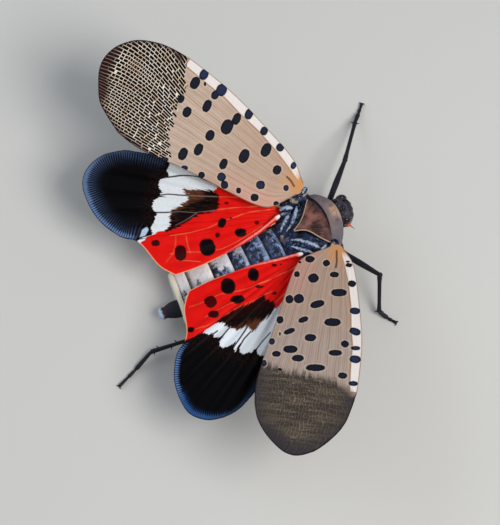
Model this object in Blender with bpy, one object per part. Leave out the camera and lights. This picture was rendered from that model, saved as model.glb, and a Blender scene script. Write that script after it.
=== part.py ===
"""Spotted lanternfly, a life-size adult female that stands on its six feet with both pairs of wings raised.

The design is laid out in millimetres: head towards -Y, the animal's own left towards +X, the floor at
z = 0 and its midline at x = 0. The finished pieces hang from one empty, which centres the whole on the
origin.
"""

import math

import bmesh
import bpy
import numpy as np
from mathutils import Vector

MM = 0.001
GAP = 0.3

# Wings: each lies in its own plane, u from the hinge towards the tip and v towards the leading edge.
WING_THICKNESS = 0.5
VEIN_HEIGHT = 0.14
FORE_EDGES = {
    "base": [(-0.3, -1.15), (-0.3, 0.9)],
    "leading": [(-0.3, 0.9), (0.9, 1.6), (2.1, 2.5), (5.0, 3.5), (10.0, 4.85), (14.5, 5.45), (18.2, 4.95)],
    "margin": [(17.5, -3.7), (20.4, -2.1), (22.2, 0.2), (22.2, 2.3), (20.3, 4.35), (18.2, 4.95)],
    "trailing": [
        (-0.3, -1.15), (0.8, -1.4), (2.1, -2.6), (5.0, -3.1), (10.5, -3.55), (14.2, -4.05), (17.5, -3.7),
    ],
}
HIND_EDGES = {
    "base": [(-0.1, -0.75), (0.0, 0.3)],
    "leading": [(0.0, 0.3), (5.0, 0.1), (9.0, -0.2), (12.5, -0.8), (14.8, -1.45)],
    "margin": [
        (6.2, -10.1), (8.0, -10.05), (10.7, -9.05), (12.7, -9.4), (15.4, -8.85), (17.8, -7.1), (18.4, -5.3),
        (17.8, -3.5), (16.4, -2.15), (14.8, -1.45),
    ],
    "trailing": [(-0.1, -0.75), (0.75, -1.75), (2.4, -4.9), (4.5, -8.1), (6.2, -10.1)],
}
FORE_VEINS = (0.09, 0.22, 0.36, 0.50, 0.63, 0.75, 0.86)
HIND_VEINS = (0.10, 0.24, 0.38, 0.50, 0.61, 0.71, 0.81, 0.91)
FORE_CAMBER = 0.2
HIND_PLEAT = 0.16
# Shares of the wing's breadth or length: a vein's flank, and where its ridge starts and is full.
VEIN_FLANK = 0.013
VEIN_START, VEIN_FULL = 0.08, 0.23
FORE_ROWS, HIND_ROWS, ROW_CROWDING = 15, 14, 1.15
HALF_BREADTH = 5.0
# Hinge, then sweep back from straight out, rise towards the tip and leading edge up, in degrees.
WINGS = {
    "forewing_left": ((2.86, -0.15, 7.1), 33.8, 12.0, 14.0),
    "forewing_right": ((-2.80, -0.54, 7.1), 39.96, 12.0, 14.0),
    "hindwing_left": ((2.29, 1.60, 5.6), 34.8, 6.0, 8.0),
    "hindwing_right": ((-2.25, 1.34, 5.6), 42.3, 6.0, 8.0),
}
ROOT_REACH = 1.5
ROOT_THICKNESS = 0.9
SOCKET_REACH, SOCKET_MARGIN = 3.0, 0.96

# Body: rings along y as (y, height of the centre, half width, rise above it, drop below it).
BODY_POWER = 2.5
COLLAR_BOW = 0.09
HEAD_RINGS = [
    (-4.36, 4.85, 0.35, 0.40, 0.55), (-4.24, 4.85, 0.85, 0.75, 1.05), (-3.95, 4.85, 1.25, 1.05, 1.45),
    (-3.50, 4.85, 1.50, 1.20, 1.60), (-3.15, 4.85, 1.50, 1.25, 1.55),
]
PRONOTUM_RINGS = [
    (-2.85, 4.95, 1.85, 1.35, 1.30), (-2.72, 4.95, 2.40, 1.60, 1.45), (-2.35, 4.95, 2.90, 1.90, 1.60),
    (-1.90, 4.95, 3.05, 2.05, 1.70), (-1.45, 4.95, 3.05, 2.10, 1.75),
]
THORAX_RINGS = [
    (-1.15, 5.10, 2.95, 2.10, 2.00), (-0.60, 5.10, 3.00, 2.25, 2.15), (0.40, 5.10, 3.00, 2.30, 2.25),
    (1.30, 5.00, 2.80, 2.10, 2.15), (2.20, 4.80, 2.50, 1.75, 1.90), (2.95, 4.60, 2.20, 1.45, 1.60),
]
END_SHRINK = 0.5
THORAX_SPLIT = 1.15
SHIELD_FLOOR = 6.0
SHIELD_CENTRE = (0.0, 0.3)
SHIELD_CORNER = (2.9, -2.2)
SHIELD_PLAN = [(2.9, -1.6), (2.3, -0.55), (1.30, 0.95), (0.40, 1.85), (0.0, 2.0)]
BEYOND = 12.0
ABDOMEN_FRONT, ABDOMEN_REAR, SEGMENTS = 3.25, 14.05, 6
ABDOMEN_SWAY, ABDOMEN_SKEW, ABDOMEN_POWER = 0.35, -0.12, 2.2
ABDOMEN_HEIGHT, ABDOMEN_SINK = 4.05, 1.95
# Each as the size in front, what swells it at mid-length and what it loses by the rear.
ABDOMEN_RISE, ABDOMEN_DROP = (1.35, 0.25, 0.35), (1.35, 0.35, 0.25)
ABDOMEN_HALF_WIDTH, ABDOMEN_WIDENING, ABDOMEN_WIDEST = 1.65, 1.25, 0.67
ABDOMEN_TAPER, TAPER_START = 3.0, 0.75
SEGMENT_RIDGE = 0.12
SEGMENT_STEPS = ((0.0, 0.0), (0.25, 0.0), (0.8, 0.7), (0.98, 1.0))
TAIL_RINGS = [
    (14.35, 1.85, 1.10, 0.80, 0.80), (14.70, 1.80, 1.05, 0.75, 0.75), (15.30, 1.70, 0.90, 0.62, 0.62),
    (15.75, 1.60, 0.72, 0.50, 0.50), (16.10, 1.55, 0.40, 0.30, 0.30),
]
TAIL_SWAY = (-0.40, 0.10)

EYE_CENTRE, EYE_RADII = (1.42, -3.42, 4.95), (0.50, 0.62, 0.78)
BULB_CENTRE, BULB_RADIUS = (1.42, -3.62, 3.80), 0.36
BRISTLE_END, BRISTLE_RADIUS = (2.05, -4.20, 3.45), 0.25
BEAK = [(0.0, -3.45, 2.95), (0.0, -2.2, 2.45), (0.0, -0.3, 2.05)]
BEAK_RADIUS = 0.32

# Legs: coxa, hip bend, knee, ankle and the end of the foot.
LEGS = {
    "leg_front_left": [
        (1.3, -1.9, 3.4), (2.3, -3.0, 3.1), (5.53, -6.49, 3.0), (9.4, -9.75, 0.75), (11.1, -11.45, 0.2),
    ],
    "leg_front_right": [
        (-1.3, -1.9, 3.4), (-2.6, -1.75, 3.1), (-6.42, -3.87, 3.4), (-8.84, -2.65, 0.75), (-10.48, -3.72, 0.2),
    ],
    "leg_middle_left": [
        (1.5, 0.1, 3.2), (2.5, 0.0, 2.8), (6.0, -1.0, 3.7), (9.0, 0.9, 0.75), (10.6, 1.7, 0.2),
    ],
    "leg_middle_right": [
        (-1.5, 0.2, 3.2), (-2.5, 0.2, 2.8), (-6.0, -0.6, 3.7), (-8.4, 2.2, 0.75), (-9.4, 3.6, 0.2),
    ],
    "leg_hind_left": [
        (1.3, 2.3, 3.3), (2.1, 2.8, 2.8), (6.0, 5.6, 3.7), (7.2, 10.6, 0.75), (7.3, 12.7, 0.2),
    ],
    "leg_hind_right": [
        (-1.3, 2.3, 3.3), (-2.1, 2.9, 2.8), (-5.0, 8.2, 3.3), (-2.65, 18.3, 0.75), (-4.2, 22.45, 0.2),
    ],
}
COXA_RADIUS, HIP_RADIUS, KNEE_RADIUS, ANKLE_RADIUS, CLAW_RADIUS = 0.50, 0.46, 0.34, 0.28, 0.26
SHIN_SHARE = 0.9
THIGH_SWELL, SOLE_START = 0.45, 0.55
KNEE_CLEARANCE, ANKLE_CLEARANCE = 0.25, 0.20
FOOT_FLAT = 0.06


def clear_scene():
    for item in list(bpy.data.objects):
        bpy.data.objects.remove(item, do_unlink=True)


def material(name, colour, roughness, metallic=0.0):
    made = bpy.data.materials.new(name)
    made.use_nodes = True
    shader = made.node_tree.nodes["Principled BSDF"]
    shader.inputs["Base Color"].default_value = (*colour, 1.0)
    shader.inputs["Roughness"].default_value = roughness
    shader.inputs["Metallic"].default_value = metallic
    return made


def solid(name, points, faces):
    """A mesh object from points in millimetres, with its faces turned outwards."""
    mesh = bpy.data.meshes.new(name)
    mesh.from_pydata([Vector(point) * MM for point in points], [], faces)
    made = bpy.data.objects.new(name, mesh)
    bpy.context.scene.collection.objects.link(made)
    work = bmesh.new()
    work.from_mesh(mesh)
    bmesh.ops.recalc_face_normals(work, faces=work.faces)
    work.to_mesh(mesh)
    work.free()
    return made


def combine(piece, others, operation):
    """Joins or cuts a piece with other pieces, which are used up."""
    for other in others:
        step = piece.modifiers.new("step", "BOOLEAN")
        step.operation = operation
        step.object = other
    graph = bpy.context.evaluated_depsgraph_get()
    mesh = bpy.data.meshes.new_from_object(piece.evaluated_get(graph))
    piece.modifiers.clear()
    piece.data = mesh
    for other in others:
        bpy.data.objects.remove(other, do_unlink=True)
    return piece


def copy_of(piece, name):
    made = piece.copy()
    made.data = piece.data.copy()
    made.name = name
    bpy.context.scene.collection.objects.link(made)
    return made


def smooth_curve(points, places):
    """The points that lie at these shares of the length of a smooth curve through the given ones."""
    knots = np.array(points, float)
    knots = np.vstack([2 * knots[0] - knots[1], knots, 2 * knots[-1] - knots[-2]])
    steps = np.linspace(0, 1, 17)[1:, None]
    run = [knots[1:2]]
    for a, b, c, d in zip(knots, knots[1:], knots[2:], knots[3:]):
        cubic = 2 * b + (c - a) * steps + (2 * a - 5 * b + 4 * c - d) * steps**2
        run.append((cubic + (3 * b - a - 3 * c + d) * steps**3) / 2)
    run = np.vstack(run)
    length = np.concatenate([[0], np.cumsum(np.linalg.norm(np.diff(run, axis=0), axis=1))])
    return np.stack([np.interp(places * length[-1], length, column) for column in run.T], axis=1)


def patch(edges, along, across):
    """A grid of (u, v) points that fills four edges, with rows from base to margin."""
    base, margin = (smooth_curve(edges[name], across)[None] for name in ("base", "margin"))
    rear, front = (smooth_curve(edges[name], along)[:, None] for name in ("trailing", "leading"))
    s, t = across[None, :, None], along[:, None, None]
    corners = (1 - t) * ((1 - s) * base[:, :1] + s * base[:, -1:])
    corners = corners + t * ((1 - s) * margin[:, :1] + s * margin[:, -1:])
    return (1 - t) * base + t * margin + (1 - s) * rear + s * front - corners


def wing_axes(side, sweep, rise, pitch):
    """The directions hinge to tip, towards the leading edge, and up out of the wing."""
    sweep, rise, pitch = (math.radians(angle) for angle in (sweep, rise, pitch))
    out = np.array([math.cos(sweep) * math.cos(rise), math.sin(sweep) * math.cos(rise), math.sin(rise)])
    flat = np.array([math.sin(sweep), -math.cos(sweep), 0.0])
    lift = np.array([-math.cos(sweep) * math.sin(rise), -math.sin(sweep) * math.sin(rise), math.cos(rise)])
    fore = flat * math.cos(pitch) + lift * math.sin(pitch)
    mirror = np.array([side, 1, 1])
    out, fore = out * mirror, fore * mirror
    return out, fore, np.cross(fore, out) * side


def wing(name, edges, veins, rows, camber, pleat):
    """A membrane whose main veins are ridges raised in both of its faces, thicker at its root."""
    hinge, sweep, rise, pitch = WINGS[name]
    side = 1 if hinge[0] > 0 else -1
    out, fore, up = wing_axes(side, sweep, rise, pitch)
    middles = [(a + b) / 2 for a, b in zip((0.0, *veins), (*veins, 1.0))]
    flanks = [vein + k * VEIN_FLANK for vein in veins for k in (-1, 0, 1)]
    across = np.array(sorted([0.0, 1.0, *middles, *flanks]))
    along = np.linspace(0, 1, rows) ** ROW_CROWDING
    grid = patch(edges, along, across)
    u, v = grid[..., 0], grid[..., 1]
    on_vein = np.isin(np.round(across, 6), np.round(veins, 6))
    fade = np.clip((along - VEIN_START) / (VEIN_FULL - VEIN_START), 0, 1) * (1 - 0.5 * along)
    ridge = VEIN_HEIGHT * fade[:, None] * on_vein[None]
    root = np.clip(1 - (u - edges["base"][0][0]) / ROOT_REACH, 0, 1)
    half = WING_THICKNESS / 2 + ridge + (ROOT_THICKNESS - WING_THICKNESS) / 2 * root
    fold = pleat * np.sin(2 * math.pi * across * (len(veins) + 1))[None] * along[:, None]
    middle = -camber * (v / HALF_BREADTH) ** 2 * along[:, None] + fold
    faces, points = [], []
    for height in (middle + half, middle - half):
        place = np.array(hinge) + u[..., None] * out + v[..., None] * fore + height[..., None] * up
        points.extend(place.reshape(-1, 3))
    columns = len(across)
    count = rows * columns
    for i in range(rows - 1):
        for j in range(columns - 1):
            a, b = i * columns + j, (i + 1) * columns + j
            for start in (0, count):
                corners = [start + a, start + b, start + b + 1, start + a + 1]
                faces.append([corners[0], corners[1], corners[2]])
                faces.append([corners[0], corners[2], corners[3]])
    rim = list(range(columns)) + [i * columns + columns - 1 for i in range(1, rows)]
    rim += [(rows - 1) * columns + j for j in range(columns - 2, -1, -1)]
    rim += [i * columns for i in range(rows - 2, 0, -1)]
    for a, b in zip(rim, rim[1:] + rim[:1]):
        faces.append([a, b, b + count])
        faces.append([a, b + count, a + count])
    return solid(name, points, faces)


def root_socket(name, edges):
    """The room that the thorax leaves round the root of a wing."""
    hinge, sweep, rise, pitch = WINGS[name]
    out, fore, up = wing_axes(1 if hinge[0] > 0 else -1, sweep, rise, pitch)
    half = ROOT_THICKNESS / 2 + GAP
    corners = []
    for u in (edges["base"][0][0] - GAP, SOCKET_REACH):
        for v in (edges["base"][0][1] - SOCKET_MARGIN, edges["base"][1][1] + SOCKET_MARGIN):
            for n in (-half, half):
                corners.append(np.array(hinge) + u * out + v * fore + n * up)
    faces = [(0, 1, 3, 2), (4, 6, 7, 5), (0, 4, 5, 1), (2, 3, 7, 6), (0, 2, 6, 4), (1, 5, 7, 3)]
    return solid("socket", corners, faces)


def ring(sides, power, half_width, rise, drop):
    """A rounded cross-section as (x, height), squarer the higher the power."""
    angles = np.arange(sides) * 2 * math.pi / sides
    x = half_width * np.sign(np.cos(angles)) * np.abs(np.cos(angles)) ** (2 / power)
    z = np.sign(np.sin(angles)) * np.abs(np.sin(angles)) ** (2 / power)
    return x, np.where(z > 0, z * rise, z * drop)


def loft(name, rings, sides, bows=(0.0, 0.0), sway=(0.0, 0.0), skew=0.0, power=BODY_POWER):
    """A closed body through rings along y.

    A bow at either end hollows or domes it, the sway moves it sideways and the skew slants its rear.
    """
    points, faces = [], []
    first, last = rings[0], rings[-1]
    inner = [(first[0], first[1], *(END_SHRINK * size for size in first[2:]))]
    outer = [(last[0], last[1], *(END_SHRINK * size for size in last[2:]))]
    rings = inner + list(rings) + outer
    for y, z, half_width, rise, drop in rings:
        x, height = ring(sides, power, half_width, rise, drop)
        share = (y - first[0]) / (last[0] - first[0])
        bow = bows[0] + (bows[1] - bows[0]) * share
        aside = sway[0] + (sway[1] - sway[0]) * share
        points.extend(zip(x + aside, y + bow * x**2 + skew * share * x, z + height))
    for i in range(len(rings) - 1):
        for j in range(sides):
            k = (j + 1) % sides
            faces.append([i * sides + j, i * sides + k, (i + 1) * sides + k, (i + 1) * sides + j])
    for row, (y, z, *_), aside in ((0, rings[0], sway[0]), (len(rings) - 1, rings[-1], sway[1])):
        points.append((aside, y, z))
        for j in range(sides):
            faces.append([row * sides + j, row * sides + (j + 1) % sides, len(points) - 1])
    return solid(name, points, faces)


def ball(name, centre, radii, columns=16, rows=9):
    """An ellipsoid on its own centre."""
    points = [(centre[0], centre[1], centre[2] + radii[2])]
    for i in range(1, rows):
        tilt = math.pi * i / rows
        for j in range(columns):
            turn = 2 * math.pi * j / columns
            step = (math.sin(tilt) * math.cos(turn), math.sin(tilt) * math.sin(turn), math.cos(tilt))
            points.append([c + r * s for c, r, s in zip(centre, radii, step)])
    points.append((centre[0], centre[1], centre[2] - radii[2]))
    faces = [[0, 1 + j, 1 + (j + 1) % columns] for j in range(columns)]
    for i in range(rows - 2):
        for j in range(columns):
            a, b = 1 + i * columns + j, 1 + i * columns + (j + 1) % columns
            faces.append([a, b, b + columns, a + columns])
    start = 1 + (rows - 2) * columns
    faces += [[len(points) - 1, start + j, start + (j + 1) % columns] for j in range(columns)]
    return solid(name, points, faces)


def limb(name, route, radii, sides=8):
    """A round rod of changing radius along a bent route, with flat ends."""
    route = [np.array(point, float) for point in route]
    points, faces = [], []
    for i, (place, radius) in enumerate(zip(route, radii)):
        along = route[min(i + 1, len(route) - 1)] - route[max(i - 1, 0)]
        along = along / np.linalg.norm(along)
        across = np.cross(along, (0.0, 0.0, 1.0))
        across = across / np.linalg.norm(across)
        over = np.cross(across, along)
        for j in range(sides):
            turn = 2 * math.pi * (j + 0.5) / sides
            points.append(place + radius * (math.cos(turn) * across + math.sin(turn) * over))
    for i in range(len(route) - 1):
        for j in range(sides):
            k = (j + 1) % sides
            faces.append([i * sides + j, i * sides + k, (i + 1) * sides + k, (i + 1) * sides + j])
    faces.append(list(range(sides)))
    faces.append([(len(route) - 1) * sides + j for j in range(sides)])
    return solid(name, points, faces)


def between(a, b, from_a, from_b):
    """The two ends of the stretch from a to b, shortened by these lengths."""
    a, b = np.array(a, float), np.array(b, float)
    way = (b - a) / np.linalg.norm(b - a)
    return a + way * from_a, b - way * from_b


def flatten_foot(piece):
    """Cuts a foot off level at the floor."""
    work = bmesh.new()
    work.from_mesh(piece.data)
    everything = list(work.verts) + list(work.edges) + list(work.faces)
    cut = bmesh.ops.bisect_plane(
        work, geom=everything, plane_co=(0, 0, 0), plane_no=(0, 0, -1), clear_outer=True
    )
    rim = [item for item in cut["geom_cut"] if isinstance(item, bmesh.types.BMEdge)]
    bmesh.ops.holes_fill(work, edges=rim)
    bmesh.ops.recalc_face_normals(work, faces=work.faces)
    work.to_mesh(piece.data)
    work.free()


def leg(name, places):
    """Thigh with its coxa, shin and foot, and the socket that the body leaves for the coxa."""
    coxa, hip, knee, ankle, toe = places
    hip, thigh_end = between(hip, knee, 0, KNEE_CLEARANCE)
    swell = hip + (thigh_end - hip) * THIGH_SWELL
    radii = [COXA_RADIUS, HIP_RADIUS, HIP_RADIUS, KNEE_RADIUS]
    thigh = limb(name + "_thigh", [coxa, hip, swell, thigh_end], radii)
    shin = limb(
        name + "_shin",
        between(knee, ankle, KNEE_CLEARANCE, ANKLE_CLEARANCE),
        [KNEE_RADIUS * SHIN_SHARE, ANKLE_RADIUS],
    )
    foot_start, foot_end = between(ankle, toe, ANKLE_CLEARANCE, 0)
    sole = foot_start + (foot_end - foot_start) * SOLE_START
    sole[2] = CLAW_RADIUS - FOOT_FLAT
    foot_end[2] = CLAW_RADIUS - FOOT_FLAT
    foot = limb(name + "_foot", [foot_start, sole, foot_end], [ANKLE_RADIUS, CLAW_RADIUS, CLAW_RADIUS])
    flatten_foot(foot)
    inward = between(coxa, hip, -GAP, 0)[0]
    beyond = hip * 2 - coxa
    socket = limb("socket", [inward, hip, beyond], [COXA_RADIUS + GAP, HIP_RADIUS + GAP, HIP_RADIUS + GAP])
    return [thigh, shin, foot], socket


def shield_prism(name, grow, floor):
    """An upright block over the mesonotum's outline, seen from above."""
    plan = SHIELD_PLAN + [(-x, y) for x, y in reversed(SHIELD_PLAN[:-1])]
    outline = []
    for x, y in plan:
        away = np.array([x, y]) - SHIELD_CENTRE
        outline.append(np.array([x, y]) + away / np.linalg.norm(away) * grow)
    corner_x, corner_y = SHIELD_CORNER
    outline = [(corner_x + grow, corner_y), *outline, (-corner_x - grow, corner_y)]
    count = len(outline)
    points = [(x, y, floor) for x, y in outline] + [(x, y, BEYOND) for x, y in outline]
    faces = [list(range(count)), list(range(count, 2 * count))]
    faces += [[i, (i + 1) % count, count + (i + 1) % count, count + i] for i in range(count)]
    return solid(name, points, faces)


def slab(name, low_y, high_y):
    """A block wider than the body between two places along it."""
    points = [(x, y, z) for x in (-BEYOND, BEYOND) for y in (low_y, high_y) for z in (-BEYOND, BEYOND)]
    faces = [(0, 1, 3, 2), (4, 6, 7, 5), (0, 4, 5, 1), (2, 3, 7, 6), (0, 2, 6, 4), (1, 5, 7, 3)]
    return solid(name, points, faces)


def abdomen_rings():
    """Rings of the abdomen, each segment a little wider at its rear edge than at its front."""
    rings = []
    for segment in range(SEGMENTS):
        for share, ridge in SEGMENT_STEPS:
            s = (segment + share) / SEGMENTS
            y = ABDOMEN_FRONT + (ABDOMEN_REAR - ABDOMEN_FRONT) * s
            widening = math.sin(math.pi / 2 * min(1, s / ABDOMEN_WIDEST))
            taper = ABDOMEN_TAPER * max(0, s - TAPER_START) ** 2
            sizes = [ABDOMEN_HALF_WIDTH + ABDOMEN_WIDENING * widening - taper]
            sizes += [
                front + swell * math.sin(math.pi * s) - loss * s
                for front, swell, loss in (ABDOMEN_RISE, ABDOMEN_DROP)
            ]
            extra = SEGMENT_RIDGE * ridge
            rings.append((y, ABDOMEN_HEIGHT - ABDOMEN_SINK * s, *(size + extra for size in sizes)))
    return rings


def build():
    clear_scene()
    finish = {
        "wing": material("forewing membrane", (0.52, 0.38, 0.30), 0.55),
        "red_wing": material("hindwing membrane", (0.66, 0.03, 0.02), 0.5),
        "shell": material("thorax shell", (0.16, 0.11, 0.09), 0.5),
        "abdomen": material("waxy abdomen", (0.25, 0.28, 0.32), 0.7),
        "leg": material("black leg shell", (0.015, 0.013, 0.013), 0.35),
        "eye": material("eye", (0.10, 0.03, 0.02), 0.15),
        "antenna": material("orange antenna", (0.75, 0.12, 0.02), 0.4),
    }
    pieces = {}

    for side in ("left", "right"):
        fore, hind = "forewing_" + side, "hindwing_" + side
        pieces[fore] = (wing(fore, FORE_EDGES, FORE_VEINS, FORE_ROWS, FORE_CAMBER, 0.0), "wing")
        pieces[hind] = (wing(hind, HIND_EDGES, HIND_VEINS, HIND_ROWS, 0.0, HIND_PLEAT), "red_wing")

    sockets = {}
    for name, places in LEGS.items():
        parts, sockets[name] = leg(name, places)
        for part in parts:
            pieces[part.name] = (part, "leg")

    trunk = loft("trunk", THORAX_RINGS, 32, (COLLAR_BOW, 0.0))
    shield = combine(copy_of(trunk, "mesonotum"), [shield_prism("prism", 0.0, SHIELD_FLOOR)], "INTERSECT")
    lower = combine(trunk, [shield_prism("prism", GAP, SHIELD_FLOOR - GAP)], "DIFFERENCE")
    wing_sockets = [
        root_socket(name, FORE_EDGES if name.startswith("fore") else HIND_EDGES) for name in WINGS
    ]
    combine(lower, wing_sockets, "DIFFERENCE")
    fore_sockets = [root_socket(name, FORE_EDGES) for name in ("forewing_left", "forewing_right")]
    combine(shield, fore_sockets, "DIFFERENCE")
    middle = combine(copy_of(lower, "mesothorax"), [slab("slab", THORAX_SPLIT, BEYOND)], "DIFFERENCE")
    rear = combine(lower, [slab("slab", -BEYOND, THORAX_SPLIT + GAP)], "DIFFERENCE")
    rear.name = "metathorax"
    combine(middle, [sockets["leg_middle_left"], sockets["leg_middle_right"]], "DIFFERENCE")
    combine(rear, [sockets["leg_hind_left"], sockets["leg_hind_right"]], "DIFFERENCE")
    pronotum = loft("pronotum", PRONOTUM_RINGS, 32, (COLLAR_BOW, COLLAR_BOW))
    combine(pronotum, [sockets["leg_front_left"], sockets["leg_front_right"]], "DIFFERENCE")
    for piece in (shield, middle, rear, pronotum):
        pieces[piece.name] = (piece, "shell")

    head = loft("head", HEAD_RINGS, 28, (0.0, COLLAR_BOW))
    cuts = []
    for side, sign in (("left", 1), ("right", -1)):
        mirror = np.array([sign, 1, 1])
        eye_centre, bulb_centre = np.array(EYE_CENTRE) * mirror, np.array(BULB_CENTRE) * mirror
        pieces["eye_" + side] = (ball("eye_" + side, eye_centre, EYE_RADII), "eye")
        bulb = ball("antenna_" + side, bulb_centre, [BULB_RADIUS] * 3, 12, 7)
        bristle = limb("bristle", [bulb_centre, np.array(BRISTLE_END) * mirror], [BRISTLE_RADIUS, 0.08], 6)
        pieces["antenna_" + side] = (combine(bulb, [bristle], "UNION"), "antenna")
        cuts.append(ball("cut", eye_centre, np.array(EYE_RADII) + GAP))
        cuts.append(ball("cut", bulb_centre, [BULB_RADIUS + GAP] * 3, 12, 7))
    pieces["head"] = (combine(head, cuts, "DIFFERENCE"), "shell")
    pieces["beak"] = (limb("beak", BEAK, [BEAK_RADIUS, BEAK_RADIUS, 0.2], 8), "leg")

    pieces["abdomen"] = (
        loft(
            "abdomen", abdomen_rings(), 24, sway=(0.0, ABDOMEN_SWAY), skew=ABDOMEN_SKEW, power=ABDOMEN_POWER
        ),
        "abdomen",
    )
    pieces["tail_tip"] = (loft("tail_tip", TAIL_RINGS, 16, sway=TAIL_SWAY, skew=ABDOMEN_SKEW), "leg")

    corners = np.array([corner for piece, _ in pieces.values() for corner in piece.bound_box]) / MM
    middle_x, middle_y = (corners.max(axis=0) + corners.min(axis=0))[:2] / 2
    centre = bpy.data.objects.new("lanternfly", None)
    bpy.context.scene.collection.objects.link(centre)
    centre.location = (-middle_x * MM, -middle_y * MM, 0)
    for piece, slot in pieces.values():
        piece.data.materials.clear()
        piece.data.materials.append(finish[slot])
        piece.parent = centre
        piece.data.shade_smooth()
        piece.data.set_sharp_from_angle(angle=math.radians(40))


build()
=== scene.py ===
"""Spotted lanternfly: the looks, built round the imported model.

Shapes are laid out in millimetres, with the head towards -Y, the animal's own left towards +X, the floor
at z = 0 and the body's midline at x = 0. A finished piece is moved into the frame's metres.
"""

import math

import bpy
import numpy as np
from mathutils import Matrix, Vector


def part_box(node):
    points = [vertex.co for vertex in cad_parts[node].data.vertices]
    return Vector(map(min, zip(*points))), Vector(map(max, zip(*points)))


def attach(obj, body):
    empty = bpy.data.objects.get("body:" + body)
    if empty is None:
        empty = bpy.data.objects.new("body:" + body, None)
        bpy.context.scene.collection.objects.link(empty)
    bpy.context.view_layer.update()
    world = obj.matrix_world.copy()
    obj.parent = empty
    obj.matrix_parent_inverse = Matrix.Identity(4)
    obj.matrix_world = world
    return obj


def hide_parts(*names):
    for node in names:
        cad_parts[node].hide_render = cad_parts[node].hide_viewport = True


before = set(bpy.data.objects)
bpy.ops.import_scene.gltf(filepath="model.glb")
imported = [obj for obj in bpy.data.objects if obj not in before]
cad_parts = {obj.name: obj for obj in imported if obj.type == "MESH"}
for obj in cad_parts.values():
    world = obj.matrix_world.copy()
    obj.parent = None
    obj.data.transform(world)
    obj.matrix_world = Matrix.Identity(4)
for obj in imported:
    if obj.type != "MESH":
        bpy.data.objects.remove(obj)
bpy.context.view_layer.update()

MM = 0.001
SIDES = {"left": 1, "right": -1}
COLLAR_FRONT_Y = -2.85
collar_low, collar_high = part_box("pronotum")
MIDLINE = (collar_low.x + collar_high.x) / 2
ORIGIN_Y = collar_low.y - COLLAR_FRONT_Y * MM
TO_FRAME = Matrix.Translation((MIDLINE, ORIGIN_Y, 0)) @ Matrix.Scale(MM, 4)


# Camera, floor and light

CAMERA_AZIMUTH, CAMERA_ELEVATION = 243.0, 70.0
LENS, SENSOR = 150.0, 36.0
NEAREST = 0.005
IMAGE_WIDTH, IMAGE_HEIGHT = 500, 525
MM_PER_PIXEL = 0.0928
# The middle of the mesonotum and the pixel of the photograph where it shows.
AIM, AIM_PIXEL = (-0.25, 0.0, 7.0), (314, 224)
FLOOR_SIZE, FLOOR_TINT, FLOOR_ROUGHNESS = 4.0, (0.62, 0.615, 0.60, 1), 0.9
ROOM_TINT, ROOM_LIGHT = (0.86, 0.93, 1.0, 1), 0.32
# Soft square lamps: place and width in millimetres, watts and tint.
LAMPS = [
    ((-120, -60, 190), 120, 0.42, (1.0, 0.97, 0.92)),
    ((150, 110, 120), 160, 0.14, (0.88, 0.94, 1.0)),
]


def colour(red, green, blue):
    """A colour read off a screen, from 0 to 255, as the linear values that a shader takes."""
    shares = (channel / 255 for channel in (red, green, blue))
    return tuple(c / 12.92 if c <= 0.04045 else ((c + 0.055) / 1.055) ** 2.4 for c in shares)


def add_camera():
    turn, tilt = math.radians(CAMERA_AZIMUTH), math.radians(CAMERA_ELEVATION)
    back = Vector((math.sin(turn) * math.cos(tilt), -math.cos(turn) * math.cos(tilt), math.sin(tilt)))
    right = Vector((math.cos(turn), math.sin(turn), 0))
    up = back.cross(right)
    distance = MM_PER_PIXEL * IMAGE_HEIGHT * LENS / SENSOR
    across = (AIM_PIXEL[0] - IMAGE_WIDTH / 2) * MM_PER_PIXEL
    above = (IMAGE_HEIGHT / 2 - AIM_PIXEL[1]) * MM_PER_PIXEL
    place = TO_FRAME @ (Vector(AIM) - right * across - up * above + back * distance)
    bpy.ops.object.camera_add()
    camera = bpy.context.object
    camera.matrix_world = Matrix.Translation(place) @ Matrix((right, up, back)).transposed().to_4x4()
    camera.data.lens = LENS
    camera.data.sensor_width = SENSOR
    camera.data.clip_start = NEAREST
    bpy.context.scene.camera = camera


def add_lamp(place, size, watts, tint):
    """A lamp that looks at the middle of the animal."""
    place = TO_FRAME @ Vector(place)
    bpy.ops.object.light_add(type="AREA", location=place)
    lamp = bpy.context.object
    lamp.rotation_euler = (-place).to_track_quat("-Z", "Y").to_euler()
    lamp.data.size = size * MM
    lamp.data.energy = watts
    lamp.data.color = tint


def add_stage():
    bpy.ops.mesh.primitive_plane_add(size=FLOOR_SIZE)
    floor = bpy.context.object
    floor.name = "floor"
    paint = bpy.data.materials.new("floor")
    paint.use_nodes = True
    shader = paint.node_tree.nodes["Principled BSDF"]
    shader.inputs["Base Color"].default_value = FLOOR_TINT
    shader.inputs["Roughness"].default_value = FLOOR_ROUGHNESS
    floor.data.materials.append(paint)
    world = bpy.data.worlds.new("soft room")
    bpy.context.scene.world = world
    world.use_nodes = True
    background = world.node_tree.nodes["Background"]
    background.inputs["Color"].default_value = ROOM_TINT
    background.inputs["Strength"].default_value = ROOM_LIGHT
    for lamp in LAMPS:
        add_lamp(*lamp)
    bpy.context.scene.view_settings.view_transform = "Standard"


# Shader maths


class Value:
    """A number that changes over a surface, for use in plain sums."""

    def __init__(self, paint, socket):
        self.paint, self.socket = paint, socket

    def __add__(self, other):
        return self.paint.maths("ADD", self, other)

    def __sub__(self, other):
        return self.paint.maths("SUBTRACT", self, other)

    def __rsub__(self, other):
        return self.paint.maths("SUBTRACT", other, self)

    def __mul__(self, other):
        return self.paint.maths("MULTIPLY", self, other)

    def __truediv__(self, other):
        return self.paint.maths("DIVIDE", self, other)

    def __abs__(self):
        return self.paint.maths("ABSOLUTE", self)

    __radd__ = __add__
    __rmul__ = __mul__


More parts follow.
